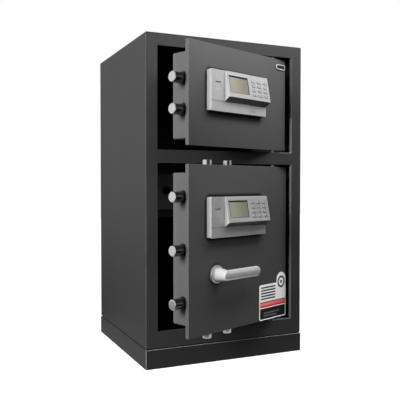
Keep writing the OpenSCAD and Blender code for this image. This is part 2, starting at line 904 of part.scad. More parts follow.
module top_bolts() {
    color(chrome)
        on_door()
            for (x = upright_x)
                translate([x, bolt_back, top_tip_z])
                    rotate([180, 0, 0])
                        bolt(top_bolt_l);
}

// Bar across the ends of two upright bolts, at web_z, with a strap to the cam's follower
module upright_bar(web_z, follower_z) {
    far_z = web_z > follower_z ? web_z + bar_t : web_z;
    strap_x = handle_x;
    block([upright_x[0] - 1.5 * bar_margin, web_y0, web_z],
        [upright_x[1] + 1.5 * bar_margin, strap_y1, web_z + bar_t]);
    upright(strap_y0, bar_t) {
        block_outline(strap_x - strap_w / 2, min(far_z, follower_z),
            strap_x + strap_w / 2, max(far_z, follower_z));
        translate([strap_x, follower_z])
            circle(d = strap_w);
    }
    rod_y(strap_x, follower_z, strap_y1 - eps, follower_y1, follower_r);
}

module top_bolt_bar() {
    color(zinc)
        on_door()
            upright_bar(top_tip_z - top_bolt_l - bar_t, handle_z + top_follower_r);
}

module bottom_bolts() {
    color(chrome)
        on_door()
            for (x = upright_x)
                translate([x, bolt_back, bottom_tip_z])
                    bolt(bottom_bolt_l);
}

module bottom_bolt_bar() {
    color(zinc)
        on_door()
            upright_bar(bottom_tip_z + bottom_bolt_l, handle_z - bottom_follower_r);
}

// Point of a follower's path in the cam, a share t of the handle's turn after the start
function spiral_r(r0, stroke, t) = r0 - stroke * t;
function spiral_point(r, angle) = [r * cos(angle), r * sin(angle)];
function spiral_edge(r0, stroke, start, side, t) =
    let (r = spiral_r(r0, stroke, t), angle = start + handle_turn * t)
    let (rate = -stroke / (handle_turn * PI / 180))
    let (tangent = [rate * cos(angle) - r * sin(angle), rate * sin(angle) + r * cos(angle)])
    let (unit = tangent / norm(tangent))
    spiral_point(r, angle) + side * (follower_r + play) * [-unit[1], unit[0]];

// Slot in which a follower moves evenly as the cam turns, eased a little at both ends
module spiral_slot(r0, stroke, start) {
    end_ease = 0.1;
    steps = [for (i = [0:slot_steps]) i / slot_steps];
    back_steps = [for (i = [0:slot_steps]) 1 - i / slot_steps];
    polygon(concat(
        [for (t = steps) spiral_edge(r0, stroke, start, 1, t)],
        [for (t = back_steps) spiral_edge(r0, stroke, start, -1, t)]));
    for (t = [0, 1])
        translate(spiral_point(spiral_r(r0, stroke, t), start + handle_turn * t))
            circle(follower_r + play + end_ease);
}

// Spindle with a disc whose three spiral slots drive the side, top and bottom bars
module spiral_cam() {
    hub_r = spindle_r + 5;
    hub_l = 8;
    light_r = 9;
    light_at = cam_r * 0.62;
    color(zinc)
        on_door() {
            upright(cam_y0, cam_t)
                translate([handle_x, handle_z])
                    difference() {
                        circle(cam_r);
                        spiral_slot(top_follower_r, top_stroke, 90);
                        spiral_slot(side_follower_r, side_stroke, 180);
                        spiral_slot(bottom_follower_r, bottom_stroke, 270);
                        for (angle = [26, 62])
                            rotate(angle)
                                translate([light_at, 0])
                                    circle(light_r);
                    }
            rod_y(handle_x, handle_z, cam_y0 - hub_l, cam_y1 + 1, hub_r);
            rod_y(handle_x, handle_z, -lever_socket - rosette_t, cam_y1, spindle_r);
        }
}

// Round rosette with a rounded rim
module rosette() {
    rim = rosette_t / 2;
    r = rosette_d / 2;
    color(nickel)
        on_door()
            translate([handle_x, 0, handle_z])
                rotate([90, 0, 0])
                    rotate_extrude()
                        difference() {
                            union() {
                                square([r - rim, rosette_t]);
                                square([r, rosette_t - rim]);
                                translate([r - rim, rosette_t - rim])
                                    circle(rim);
                            }
                            translate([0, -cut])
                                square([spindle_r + play, rosette_t + 2 * cut]);
                        }
}

// Round neck: a collar on the rosette, a waist, and the flare into the back of the bar
module lever_neck() {
    neck_n0 = rosette_t + play;
    collar_n1 = neck_n0 + collar_t;
    waist_n1 = lever_out - lever_t / 2;
    fillet_r = neck_r - lever_half;
    flare_r = lever_half + lever_bend_r;
    rotate([90, 0, 0])
        rotate_extrude() {
            translate([0, neck_n0])
                square([neck_r, collar_t]);
            translate([0, neck_n0])
                square([lever_half, waist_n1 - neck_n0]);
            difference() {
                translate([0, collar_n1 - eps])
                    square([neck_r, fillet_r]);
                translate([neck_r, collar_n1 + fillet_r])
                    circle(fillet_r);
            }
            difference() {
                translate([0, lever_out - lever_t - lever_bend_r])
                    square([flare_r, lever_bend_r + lever_t / 2]);
                translate([flare_r, lever_out - lever_t - lever_bend_r])
                    circle(lever_bend_r);
            }
        }
}

// Outline of the bar seen from the front
module lever_front() {
    round_rect(0, -lever_half, lever_l, lever_half, lever_end_r);
    translate([-lever_half, -lever_half])
        square([lever_l / 2 + lever_half, lever_h]);
}

// Bar of the lever: crowned on its face, rounded in its front, its section and its plan
module lever_bar() {
    plan_r = 3;
    intersection() {
        upright(-lever_out, lever_t)
            lever_front();
        translate([-lever_half - cut, 0, 0])
            rotate([90, 0, 90])
                linear_extrude(lever_half + lever_l + 2 * cut)
                    round_rect(-lever_out, -lever_half, lever_t - lever_out, lever_half,
                        lever_edge_r);
        rod_x(lever_crown_r - lever_out, 0, -lever_half - cut, lever_l + cut, lever_crown_r);
        translate([0, 0, -lever_half - cut])
            linear_extrude(lever_h + 2 * cut)
                round_rect(-lever_half, -lever_out, lever_l, lever_t - lever_out, plan_r);
    }
}

// Lever handle: round neck with the spindle's socket, and the bar
module lever() {
    collar_zone = rosette_t + play + collar_t + neck_r - lever_half;
    color(nickel)
        on_door()
            translate([handle_x, 0, handle_z])
                difference() {
                    union() {
                        lever_bar();
                        intersection() {
                            lever_neck();
                            union() {
                                upright(-lever_out, lever_out)
                                    lever_front();
                                rod_y(0, 0, -collar_zone, 0, neck_r);
                            }
                        }
                    }
                    rod_y(0, 0, -lever_socket - rosette_t, cut, spindle_r);
                }
}

// Side outline of the bezel, n outwards and z up from the housing's bottom
module bezel_outline() {
    polygon([
        [pad_d, pad_h],
        [pad_d + bezel_top_d, pad_h],
        [pad_d + bezel_low_d, strip_h + bezel_lip],
        [pad_d, strip_h]]);
}

// Puts the origin at the top left corner of the bezel's sloping face, with -y out of the face
module on_face(z0) {
    translate([bezel_x0, -pad_d - bezel_top_d, z0 + pad_h])
        rotate([-face_tilt, 0, 0])
            children();
}

// Housing on the door: raised panel, strip with seams, bed and keyhole of the sliding cover
module lock_base(z0) {
    seam_d = 1.5;
    bay_x0 = cover_x0 - seam_w;
    mark = 17.5;
    mark_foot_d = 0.6;
    mark_head_d = 2.2;
    mark_x = pad_x0 + (pad_w - bezel_w - mark) / 2;
    mark_up = strip_h + (pad_h - strip_h - mark) / 2;
    mark_z = z0 + mark_up;
    keyhole_r = 4.5;
    keyhole_x = cover_x0 + key_cover_w / 2;
    keyhole_z = z0 + keyhole_r + 3;
    key_post_r = 2;
    neck_half = rail_neck_h / 2 + play;
    head_half = rail_head_h / 2 + play;
    head_y0 = -pad_floor + rail_neck_d - play;
    head_y1 = -pad_floor + rail_neck_d + rail_head_d + play;
    difference() {
        upright(-pad_d, pad_d)
            round_rect(pad_x0, z0, pad_x1, z0 + pad_h, pad_corner_r);
        block([pad_x0 - cut, -pad_d - cut, z0 + strip_h - seam_w],
            [bezel_x0 + cut, -pad_d + seam_d, z0 + strip_h]);
        translate([mark_x, 0, mark_z])
            rotate([90, 0, 90])
                linear_extrude(mark)
                    polygon([
                        [-pad_d - cut, 0],
                        [-pad_d + mark_foot_d, 0],
                        [-pad_d + mark_head_d, mark],
                        [-pad_d - cut, mark]
                    ]);
        block([bay_x0, -pad_d - cut, z0 - cut], [pad_x1 + cut, -pad_floor, z0 + strip_h]);
        block([cover_x0, -pad_floor - cut, z0 + rail_z - neck_half],
            [pad_x1 + cut, head_y1, z0 + rail_z + neck_half]);
        block([cover_x0, head_y0, z0 + rail_z - head_half],
            [pad_x1 + cut, head_y1, z0 + rail_z + head_half]);
        difference() {
            rod_y(keyhole_x, keyhole_z, -pad_floor - cut, -plate_left, keyhole_r);
            rod_y(keyhole_x, keyhole_z, -pad_floor, 0, key_post_r);
        }
    }
}

module upper_lock_base() {
    color(silver)
        on_door()
            lock_base(upper_pad_z0);
}

module lower_lock_base() {
    color(silver)
        on_door()
            lock_base(lower_pad_z0);
}

// Slot-shaped outline of a key, centred
module key_outline(grow) {
    r = key_h / 2 + grow;
    half = (key_w - key_h) / 2;
    translate([-half, -r])
        square([2 * half, 2 * r]);
    for (s = [-1, 1])
        translate([s * half, 0])
            circle(r);
}

// Puts the origin on the face at the centre of key i, counted from 1 in rows of three
module at_key(i) {
    col = (i - 1) % key_cols;
    row = floor((i - 1) / key_cols);
    translate([key_in + col * key_pitch_x, 0, -key_down - row * key_pitch_z])
        children();
}

// Wedge with a sloping face, a recess for the display and a pocket for each key
module lock_bezel(z0) {
    difference() {
        intersection() {
            translate([bezel_x0, 0, z0])
                rotate([90, 0, 90])
                    linear_extrude(bezel_w)
                        mirror([1, 0])
                            bezel_outline();
            upright(-2 * pad_d - bezel_low_d, 2 * pad_d + bezel_low_d)
                round_rect(bezel_x0, z0, pad_x1, z0 + pad_h, pad_corner_r);
        }
        on_face(z0) {
            block([lcd_in, -cut, -lcd_down - lcd_h], [lcd_in + lcd_w, lcd_sink + lcd_t, -lcd_down]);
            for (i = [1:key_count])
                at_key(i)
                    upright(-cut, key_pocket + cut)
                        key_outline(play);
        }
    }
}

module upper_lock_bezel() {
    color(silver)
        on_door()
            lock_bezel(upper_pad_z0);
}

module lower_lock_bezel() {
    color(silver)
        on_door()
            lock_bezel(lower_pad_z0);
}

// Display pane on the floor of its recess
module display(z0) {
    edge = 0.2;
    on_face(z0)
        block([lcd_in + edge, lcd_sink, -lcd_down - lcd_h + edge],
            [lcd_in + lcd_w - edge, lcd_sink + lcd_t, -lcd_down - edge]);
}

module upper_display() {
    color(glass_tan)
        on_door()
            display(upper_pad_z0);
}

module lower_display() {
    color(glass_tan)
        on_door()
            display(lower_pad_z0);
}

// One key of the keypad, standing proud of the face
module lock_key(z0, i) {
    color(key_grey)
        on_door()
            on_face(z0)
                at_key(i)
                    upright(-key_proud, key_proud + key_stem)
                        key_outline(0);
}

// Cover of the emergency keyhole, with a T-shaped rail that runs in the housing
module keyhole_cover(z0) {
    grip_n = 5;
    grip_pitch = 3;
    grip_w = 1.2;
    grip_d = 0.8;
    grip_margin = 6;
    edge_r = 1;
    rail_x0 = cover_x0 + 2;
    rail_y = -pad_floor + rail_neck_d;
    difference() {
        union() {
            upright(-pad_d, pad_d - pad_floor - play)
                round_rect(cover_x0, z0, pad_x1, z0 + strip_h - seam_w, edge_r);
            block([rail_x0, -pad_floor - 2 * play, z0 + rail_z - rail_neck_h / 2],
                [rail_x0 + rail_l, rail_y + rail_head_d, z0 + rail_z + rail_neck_h / 2]);
            block([rail_x0, rail_y, z0 + rail_z - rail_head_h / 2],
                [rail_x0 + rail_l, rail_y + rail_head_d, z0 + rail_z + rail_head_h / 2]);
        }
        for (i = [0:grip_n - 1])
            translate([cover_x0 + grip_margin + grip_pitch * i, 0, 0])
                block([0, -pad_d - cut, z0 + grip_margin],
                    [grip_w, -pad_d + grip_d, z0 + strip_h - seam_w - grip_margin]);
    }
}

module upper_keyhole_cover() {
    color(silver)
        on_door()
            keyhole_cover(upper_pad_z0);
}

module lower_keyhole_cover() {
    color(silver)
        on_door()
            keyhole_cover(lower_pad_z0);
}

casing();
back_panel();
front_frame();
plinth();
partition();
hinge_blocks();
locker_case();
locker_flap();
locker_knob();
upper_door_plate();
upper_bolt_box();
upper_rear_cover();
upper_hinge_pins();
upper_side_bolts();
upper_actuator();
upper_lock_base();
upper_lock_bezel();
upper_display();
upper_keyhole_cover();
lower_door_plate();
lower_bolt_box();
lower_rear_cover();
lower_hinge_pins();
lower_side_bolts();
side_bolt_bar();
top_bolts();
top_bolt_bar();
bottom_bolts();
bottom_bolt_bar();
spiral_cam();
rosette();
lever();
lower_lock_base();
lower_lock_bezel();
lower_display();
lower_keyhole_cover();
for (i = [1:key_count]) {
    lock_key(upper_pad_z0, i);
    lock_key(lower_pad_z0, i);
}
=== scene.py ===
"""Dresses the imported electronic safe: coats, plating, keypad legends, label, fasteners and stage."""

import json
import math

import bmesh
import bpy
from mathutils import Matrix, Vector


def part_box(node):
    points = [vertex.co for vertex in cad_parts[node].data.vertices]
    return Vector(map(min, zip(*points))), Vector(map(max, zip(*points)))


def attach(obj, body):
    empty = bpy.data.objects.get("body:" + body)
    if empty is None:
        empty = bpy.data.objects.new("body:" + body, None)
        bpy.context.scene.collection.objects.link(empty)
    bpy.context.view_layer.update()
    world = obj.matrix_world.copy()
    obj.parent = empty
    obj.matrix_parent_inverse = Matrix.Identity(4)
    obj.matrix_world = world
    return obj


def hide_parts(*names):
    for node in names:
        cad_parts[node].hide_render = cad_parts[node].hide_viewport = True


bl_info = {
    "name": "Electronic safe finish",
    "version": (1, 0, 0),
    "blender": (4, 5, 0),
    "location": "View3D > Sidebar > Safe",
    "description": "Finishes, small pieces and stage for a two-compartment electronic safe",
    "category": "Object",
}

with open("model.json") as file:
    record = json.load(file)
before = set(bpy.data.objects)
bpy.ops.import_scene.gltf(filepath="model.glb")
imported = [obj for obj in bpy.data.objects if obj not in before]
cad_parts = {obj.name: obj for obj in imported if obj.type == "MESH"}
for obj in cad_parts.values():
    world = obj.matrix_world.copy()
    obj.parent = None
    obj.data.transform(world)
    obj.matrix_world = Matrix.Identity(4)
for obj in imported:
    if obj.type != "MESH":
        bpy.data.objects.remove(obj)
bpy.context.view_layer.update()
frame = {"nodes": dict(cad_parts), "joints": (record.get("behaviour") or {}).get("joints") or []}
JOINTS = {joint["name"]: joint for joint in frame["joints"]}
NODES = frame["nodes"]
KEY_LEGENDS = ["1", "2", "3", "4", "5", "6", "7", "8", "9", "*", "0", "#"]
PADS = ("upper", "lower")
PRINT_BLACK = (0.012, 0.012, 0.013)

# Directions of the cabinet
AXES = (Vector((1, 0, 0)), Vector((0, 1, 0)), Vector((0, 0, 1)))
RIGHT, BACK, UP = AXES
FRONT = -BACK

# Directions of the ajar doors: along the front face, into the door, and out of it
ALONG = Vector(JOINTS["side_bolt_slide"]["axis"]).normalized()
INTO = Vector(JOINTS["handle_turn"]["axis"]).normalized()
OUT = -INTO
KEY_PRESS = Vector(JOINTS["upper_key_1_press"]["axis"]).normalized()


# Shader maths


class Value:
    """A node's output. Arithmetic on it adds Math nodes."""

    def __init__(self, shader, socket):
        self.shader = shader
        self.socket = socket

    def _math(self, operation, *terms):
        return self.shader.node("ShaderNodeMath", {"operation": operation}, dict(enumerate(terms)))

    def __add__(self, other):
        return self._math("ADD", self, other)

    def __radd__(self, other):
        return self._math("ADD", other, self)

    def __sub__(self, other):
        return self._math("SUBTRACT", self, other)

    def __rsub__(self, other):
        return self._math("SUBTRACT", other, self)

    def __mul__(self, other):
        return self._math("MULTIPLY", self, other)

    def __rmul__(self, other):
        return self._math("MULTIPLY", other, self)

    def __truediv__(self, other):
        return self._math("DIVIDE", self, other)

    def __rtruediv__(self, other):
        return self._math("DIVIDE", other, self)

    def __neg__(self):
        return self._math("MULTIPLY", self, -1.0)

    def __gt__(self, other):
        return self._math("GREATER_THAN", self, other)

    def __lt__(self, other):
        return self._math("LESS_THAN", self, other)

    def rise(self, low, high):
        """0 below low, 1 above high, smooth between them."""
        settings = {"interpolation_type": "SMOOTHSTEP"}
        inputs = {"Value": self, "From Min": low, "From Max": high, "To Min": 0.0, "To Max": 1.0}
        return self.shader.node("ShaderNodeMapRange", settings, inputs)


class Shader:
    """The node tree of a material or a world."""

    def __init__(self, owner):
        owner.use_nodes = True
        self.owner = owner
        self.tree = owner.node_tree
        self.tree.nodes.clear()

    def node(self, kind, settings=None, inputs=None, output=0):
        """Adds a node: its settings first, then the values or links of its sockets."""
        made = self.tree.nodes.new(kind)
        for key, value in (settings or {}).items():
            setattr(made, key, value)
        for key, value in (inputs or {}).items():
            if isinstance(value, Value):
                self.tree.links.new(value.socket, made.inputs[key])
            else:
                made.inputs[key].default_value = value
        return Value(self, made.outputs[output]) if made.outputs else made

    def place(self):
        """Coordinates on the object, in metres, which move with it."""
        return self.node("ShaderNodeTexCoord", output="Object")

    def facing(self):
        """Direction in which the surface faces, on the object."""
        return self.node("ShaderNodeTexCoord", output="Normal")

    def dot(self, direction, vector=None):
        """How far a vector, or else the place, reaches along a direction."""
        direction = direction if isinstance(direction, Value) else tuple(direction)
        inputs = {0: vector or self.place(), 1: direction}
        return self.node("ShaderNodeVectorMath", {"operation": "DOT_PRODUCT"}, inputs, output="Value")

    def inside(self, low, high):
        """1 in the box between two corners and 0 outside it."""
        share = 1.0
        for axis, start, end in zip(AXES, low, high):
            place = self.dot(axis)
            share = (place > start) * (place < end) * share
        return share

    def vector(self, x, y, z):
        return self.node("ShaderNodeCombineXYZ", inputs={0: x, 1: y, 2: z})

    def noise(self, scale, detail=2.0, at=None):
        inputs = {"Vector": at or self.place(), "Scale": scale, "Detail": detail}
        return self.node("ShaderNodeTexNoise", inputs=inputs)

    def mix(self, factor, low, high):
        """Colour between two colours. The node has sockets of one name for each kind of data, so the
        colours' are taken by number."""
        low_socket, high_socket, colour_output = 6, 7, 2
        inputs = {0: factor}
        for socket, colour in ((low_socket, low), (high_socket, high)):
            inputs[socket] = colour if isinstance(colour, Value) else (*colour, 1.0)
        return self.node("ShaderNodeMix", {"data_type": "RGBA"}, inputs, output=colour_output)

    def edges(self, radius):
        """1 along sharp edges and 0 on open faces."""
        rounded = self.node("ShaderNodeBevel", {"samples": 6}, {"Radius": radius})
        flat = self.node("ShaderNodeNewGeometry", output="Normal")
        slight, sharp = 0.02, 0.2
        return (1.0 - self.dot(flat, rounded)).rise(slight, sharp)

    def corners(self, distance):
        """1 deep in corners and 0 on open faces."""
        inputs = {"Distance": distance}
        open_share = self.node("ShaderNodeAmbientOcclusion", {"samples": 12}, inputs, output="AO")
        slight, deep = 0.06, 0.34
        return (1.0 - open_share).rise(slight, deep)

    def camera_ray(self):
        """1 for what the camera sees directly."""
        return self.node("ShaderNodeLightPath", output="Is Camera Ray")

    def mirror_ray(self):
        """1 for what gloss and glass show."""
        glossy = self.node("ShaderNodeLightPath", output="Is Glossy Ray")
        return glossy + self.node("ShaderNodeLightPath", output="Is Transmission Ray")

    def bump(self, height, depth, strength):
        inputs = {"Height": height, "Distance": depth, "Strength": strength}
        return self.node("ShaderNodeBump", inputs=inputs)

    def finish(self, tone, rough, metal=0.0, **more):
        """Ends the tree with a Principled BSDF and returns the material."""
        inputs = {"Base Color": tone, "Roughness": rough, "Metallic": metal}
        inputs.update({name.replace("_", " "): value for name, value in more.items()})
        surface = self.node("ShaderNodeBsdfPrincipled", inputs=inputs)
        self.node("ShaderNodeOutputMaterial", inputs={0: surface})
        return self.owner


def new_shader(name):
    return Shader(bpy.data.materials.new(name))


def shade(colour, factor):
    """A colour made lighter or darker."""
    return tuple(channel * factor for channel in colour)


def grey(level):
    return (level,) * 3


def powder_coat(name, colour, inner=None, rear=None, painted_edge_grey=0.2, front=None, painted_shade=None, painted_highlight_strips=()):
    """Fine-grained powder coat, cloudy and slightly orange-peeled, with a painted highlight along its
    edges.
    Where inner gives two corners of a box, the faces inside it carry a flat black coat, a painted shade
    for the unlit inside. rear gives a direction, a place along it and the colour of what lies below that
    place. rubbed is the grey of the painted edge highlight; with front, a place towards the front, only
    the edges before it get it. grime is how far painted shade reaches out of corners and round what
    stands on the surface. rims lists boxes painted lighter as highlight strips: two corners and a grey."""
    s = new_shader(name)
    cloud = s.noise(scale=9.0, detail=3.0)
    grain = s.noise(scale=1900.0)
    peel = s.noise(scale=420.0, detail=1.0)
    low_tone, high_tone = shade(colour, 0.9), shade(colour, 1.12)
    if rear is not None:
        direction, depth, back = rear
        ahead = s.dot(direction) > depth
        low_tone = s.mix(ahead, shade(back, 0.93), low_tone)
        high_tone = s.mix(ahead, shade(back, 1.08), high_tone)
    tone = s.mix(cloud, low_tone, high_tone)
    tone = s.mix(grain * 0.3, tone, shade(colour, 1.35))
    # painted highlight: the edges are painted paler
    if front is None:
        painted_edge_light = s.edges(radius=0.0016) * (0.35 + grain * 0.6)
    else:
        painted_edge_light = s.edges(radius=0.0022) * (0.7 + grain * 0.3) * (s.dot(FRONT) > front)
    tone = s.mix(painted_edge_light, tone, grey(painted_edge_grey))
    # painted highlight strips: the coat is painted paler in these boxes
    for low, high, level in painted_highlight_strips:
        tone = s.mix(s.inside(low, high) * (0.7 + cloud * 0.3), tone, grey(level))
    # painted shade: darker in corners and round what stands on the surface
    if painted_shade is not None:
        tone = s.mix(s.corners(painted_shade), tone, shade(colour, 0.08))
    rough = 0.52 + cloud * 0.08 + grain * 0.06
    # painted shade: the faces inside the box are painted near black for the unlit inside
    if inner is not None:
        inside = s.inside(*inner)
        tone = s.mix(inside, tone, (0.016, 0.016, 0.0165))
        rough = rough + inside * 0.35
    normal = s.bump(grain * 0.4 + peel, depth=0.00005, strength=0.5)
    return s.finish(tone, rough, Normal=normal, Specular_IOR_Level=0.2)


def plated_steel(name, colour, rough, turned=None, brushed=None, metal=1.0, painted_shaft_shade=None):
    """Plated steel. turned gives an axis for fine rings, brushed a direction for streaks. With oiled, a
    factor, the colour is darkened as painted shade, standing for the dark that the shafts mirror,
    everywhere but on the faces along the axis of the rings."""
    s = new_shader(name)
    cloud = s.noise(scale=30.0)
    if turned is not None:
        rings = 2600.0
        marks = s.noise(scale=1.0, at=s.vector(s.dot(turned) * rings, 0.0, 0.0))
    elif brushed is not None:
        fine, long = 1600.0, 25.0
        side = Vector(brushed).cross(UP)
        streak = s.vector(s.dot(brushed) * long, s.dot(side) * fine, s.dot(UP) * fine)
        marks = s.noise(scale=1.0, detail=3.0, at=streak)
    else:
        marks = s.noise(scale=600.0, detail=3.0)
    tone = s.mix(cloud, shade(colour, 0.93), shade(colour, 1.05))
    tone = s.mix(marks * 0.3, tone, shade(colour, 0.82))
    # painted shade: darker everywhere but on the end faces, for the dark the shafts mirror
    if painted_shaft_shade is not None:
        end = s.dot(turned, s.facing())
        tone = s.mix((end * end).rise(0.1, 0.5), shade(colour, painted_shaft_shade), tone)
    depth = 0.00003 if turned is None else 0.00001
    normal = s.bump(marks, depth, strength=0.4)
    return s.finish(tone, rough + marks * 0.1 - 0.05, metal, Normal=normal)


def metal_lacquer(name, colour):
    """Silver lacquer with fine flakes over moulded plastic, with painted shade where it faces down."""
    s = new_shader(name)
    flake = s.node("ShaderNodeTexVoronoi", inputs={"Vector": s.place(), "Scale": 3800.0}, output="Color")
    glint = s.node("ShaderNodeSeparateColor", inputs={0: flake})
    cloud = s.noise(scale=25.0)
    tone = s.mix(glint * 0.5, shade(colour, 0.92), shade(colour, 1.1))
    tone = s.mix(cloud * 0.3, tone, shade(colour, 0.9))
    # painted shade on faces that look down
    down = s.dot(-UP, s.facing())
    tone = s.mix(down.rise(0.4, 0.7), tone, shade(colour, 0.3))
    normal = s.bump(s.noise(scale=700.0, detail=1.0), depth=0.00002, strength=0.4)
    return s.finish(tone, 0.32 + glint * 0.08, metal=0.5, Normal=normal)


def moulded_plastic(name, colour, rough):
    """Moulded plastic with a fine spark-eroded grain."""
    s = new_shader(name)
    grain = s.noise(scale=2600.0)
    cloud = s.noise(scale=60.0)
    tone = s.mix(cloud, shade(colour, 0.95), shade(colour, 1.04))
    normal = s.bump(grain, depth=0.00003, strength=0.5)
    return s.finish(tone, rough + grain * 0.1, Normal=normal)


def display_pane(name, colour, low, high):
    """Unlit liquid-crystal pane: a dark border, printed and widened at the top by painted shade from the
    bezel, painted shade that darkens it towards the right, a faint dot raster and a glossy surface. low and
    high are its reach along the door and upwards."""
    s = new_shader(name)
    dark = (0.02, 0.02, 0.018)
    across = (s.dot(ALONG) - low[0]) / (high[0] - low[0])
    up = (s.dot(UP) - low[1]) / (high[1] - low[1])
    # dark border: printed, and wider at the top as painted shade from the bezel
    inside = across.rise(0.015, 0.045) * (1.0 - across.rise(0.95, 0.985))
    inside = inside * up.rise(0.01, 0.05) * (1.0 - up.rise(0.9, 0.925))
    raster = s.node("ShaderNodeTexChecker", inputs={"Vector": s.place(), "Scale": 1400.0}, output="Fac")
    cloud = s.noise(scale=28.0, detail=1.0)
    tone = s.mix(cloud, shade(colour, 0.95), shade(colour, 1.05))
    # painted shade: darker towards the right
    tone = s.mix(across.rise(0.1, 0.9), tone, shade(colour, 0.68))
    tone = s.mix(raster * 0.06, tone, dark)
    tone = s.mix(inside, dark, tone)
    return s.finish(tone, 0.34 + cloud * 0.05, metal=0.7, Coat_Weight=0.2, Coat_Roughness=0.2)


def label_paper(name):
    """White paper under a clear film."""
    s = new_shader(name)
    fibres = s.noise(scale=900.0)
    tone = s.mix(fibres, (0.9, 0.9, 0.89), (0.94, 0.94, 0.93))
    return s.finish(tone, 0.34 + fibres * 0.05, Coat_Weight=0.3, Coat_Roughness=0.2)


def label_band(name, left, right, low, high):
    """Red print that deepens to the right, with a paler sheen along its middle. The places are the
    band's ends along the door and upwards."""
    s = new_shader(name)
    fade = (s.dot(ALONG) - left) / (right - left)
    up = (s.dot(UP) - low) / (high - low)
    sheen = up.rise(0.1, 0.55) * (1.0 - up.rise(0.6, 0.95))
    blush = s.noise(scale=60.0)
    deep = s.mix(fade * 0.6 + blush * 0.2, (0.62, 0.03, 0.05), (0.45, 0.012, 0.035))
    tone = s.mix(sheen * (0.9 - fade * 0.4), deep, (1.0, 0.3, 0.3))
    return s.finish(tone, 0.32 + blush * 0.05, Coat_Weight=0.3, Coat_Roughness=0.2)


# Mesh tools

WELD_GAP = 0.000002
FLAT_ANGLE = 0.4
SHARP_ANGLE = 35.0


def new_piece(name, mesh, body, *materials):
    """Links a mesh as a piece that rides on a body."""
    piece = bpy.data.objects.new(name, mesh)
    bpy.context.scene.collection.objects.link(piece)
    for material in materials:
        mesh.materials.append(material)
    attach(piece, body)
    return piece


def bevel(obj, width, segments, angle):
    """Rounds the edges of an object that are sharper than an angle, with a modifier."""
    rounding = obj.modifiers.new("soften", "BEVEL")
    rounding.width = width
    rounding.segments = segments
    rounding.limit_method = "ANGLE"
    rounding.angle_limit = math.radians(angle)
    rounding.harden_normals = True


def soften(obj, width, segments):
    """Joins a CAD node's triangles and rounds its sharp edges with modifiers; its own mesh stays."""
    weld = obj.modifiers.new("weld", "WELD")
    weld.merge_threshold = WELD_GAP
    flat = obj.modifiers.new("flatten", "DECIMATE")
    flat.decimate_type = "DISSOLVE"
    flat.angle_limit = math.radians(FLAT_ANGLE)
    bevel(obj, width, segments, SHARP_ANGLE)


def paint(nodes, material, width=None, segments=2):
    """Gives CAD nodes a finish, and softened edges where a width is given."""
    for name in nodes:
        obj = NODES[name]
        obj.data.materials.clear()
        obj.data.materials.append(material)
        if width:
            soften(obj, width, segments)


def reach(node, direction):
    """Lowest and highest place of a node along a direction."""
    places = [vertex.co.dot(direction) for vertex in NODES[node].data.vertices]
    return min(places), max(places)


class DoorPlace:
    """Places on a door's front: s along it from the free edge, n out of it, z from the ground."""

    def __init__(self, plate):
        self.left, self.right = reach(plate, ALONG)
        self.front = reach(plate, OUT)[1]
        self.low, self.high = reach(plate, UP)
        self.width = self.right - self.left

    def at(self, s, n, z):
        return ALONG * (self.left + s) + OUT * (self.front + n) + UP * z


def skin(bm, loops, smooth=False, material_index=0):
    """Faces between loops of vertices that follow each other."""
    for first, second in zip(loops, loops[1:]):
        for i in range(len(first)):
            j = (i + 1) % len(first)
            face = bm.faces.new((first[i], first[j], second[j], second[i]))
            face.smooth = smooth
            face.material_index = material_index


def outline_loop(bm, outline, place, lift):
    """Vertices of an outline's points (x, z) at a height over the surface."""
    return [bm.verts.new(place(x, lift, z)) for x, z in outline]


def card(bm, outline, place, thick, material_index=0):
    """Flat card: outline points (x, z) at the height thick, with a rim down to the surface."""
    foot, top = (outline_loop(bm, outline, place, lift) for lift in (0.0, thick))
    bm.faces.new(top).material_index = material_index
    skin(bm, (foot, top), material_index=material_index)


def arc(centre, radius, start, end, steps):
    """Points of an arc, angles in degrees."""
    points = []
    for i in range(steps + 1):
        angle = math.radians(start + (end - start) * i / steps)
        points.append((centre[0] + radius * math.cos(angle), centre[1] + radius * math.sin(angle)))
    return points


def circle(centre, radius, steps):
    return arc(centre, radius, 0, 360, steps)[:-1]


def round_rect(x0, z0, x1, z1, radius, steps=6):
    """Outline of a rectangle with round corners."""
    return (
        arc((x1 - radius, z0 + radius), radius, -90, 0, steps)
        + arc((x1 - radius, z1 - radius), radius, 0, 90, steps)
        + arc((x0 + radius, z1 - radius), radius, 90, 180, steps)
        + arc((x0 + radius, z0 + radius), radius, 180, 270, steps)
    )


def squircle(steps, power):
    """Points round a circle of radius 1, squared off where the power is above 2."""
    points = []
    for c, q in circle((0.0, 0.0), 1.0, steps):
        scale = (abs(c) ** power + abs(q) ** power) ** (-1.0 / power)
        points.append((c * scale, q * scale))
    return points


def blend(start, end, share):
    """A number between two others."""
    return start + (end - start) * share


def screw(bm, centre, outward, radius, height, turn):
    """Pan-head screw with a crossed recess, standing on a surface."""
    sides = 20
    hub, arms = 0.12, 0.26
    side = outward.orthogonal().normalized()
    up = outward.cross(side)

    def ring(share, lift, crossed=False):
        """Round ring of vertices, or one drawn in to a cross."""
        loop = []
        for i in range(sides):
            angle = 2 * math.pi * i / sides
            wide = radius * share
            if crossed:
                wide *= hub + arms * (0.5 + 0.5 * math.cos(4 * (angle - turn))) ** 3
            flat = side * math.cos(angle) + up * math.sin(angle)
            loop.append(bm.verts.new(centre + flat * wide + outward * height * lift))
        return loop

    profile = ((1.0, 0.0), (1.0, 0.35), (0.9, 0.7), (0.62, 0.94), (0.4, 1.0))
    head = [ring(share, lift) for share, lift in profile]
    recess = [ring(1.0, 0.98, crossed=True), ring(0.8, 0.45, crossed=True)]
    skin(bm, head, smooth=True)
    skin(bm, (head[-1], *recess))
    bm.faces.new(recess[-1])


def mesh_from(bm, name):
    bmesh.ops.recalc_face_normals(bm, faces=bm.faces)
    mesh = bpy.data.meshes.new(name)
    bm.to_mesh(mesh)
    bm.free()
    return mesh


# Sizes and colours that a user would change


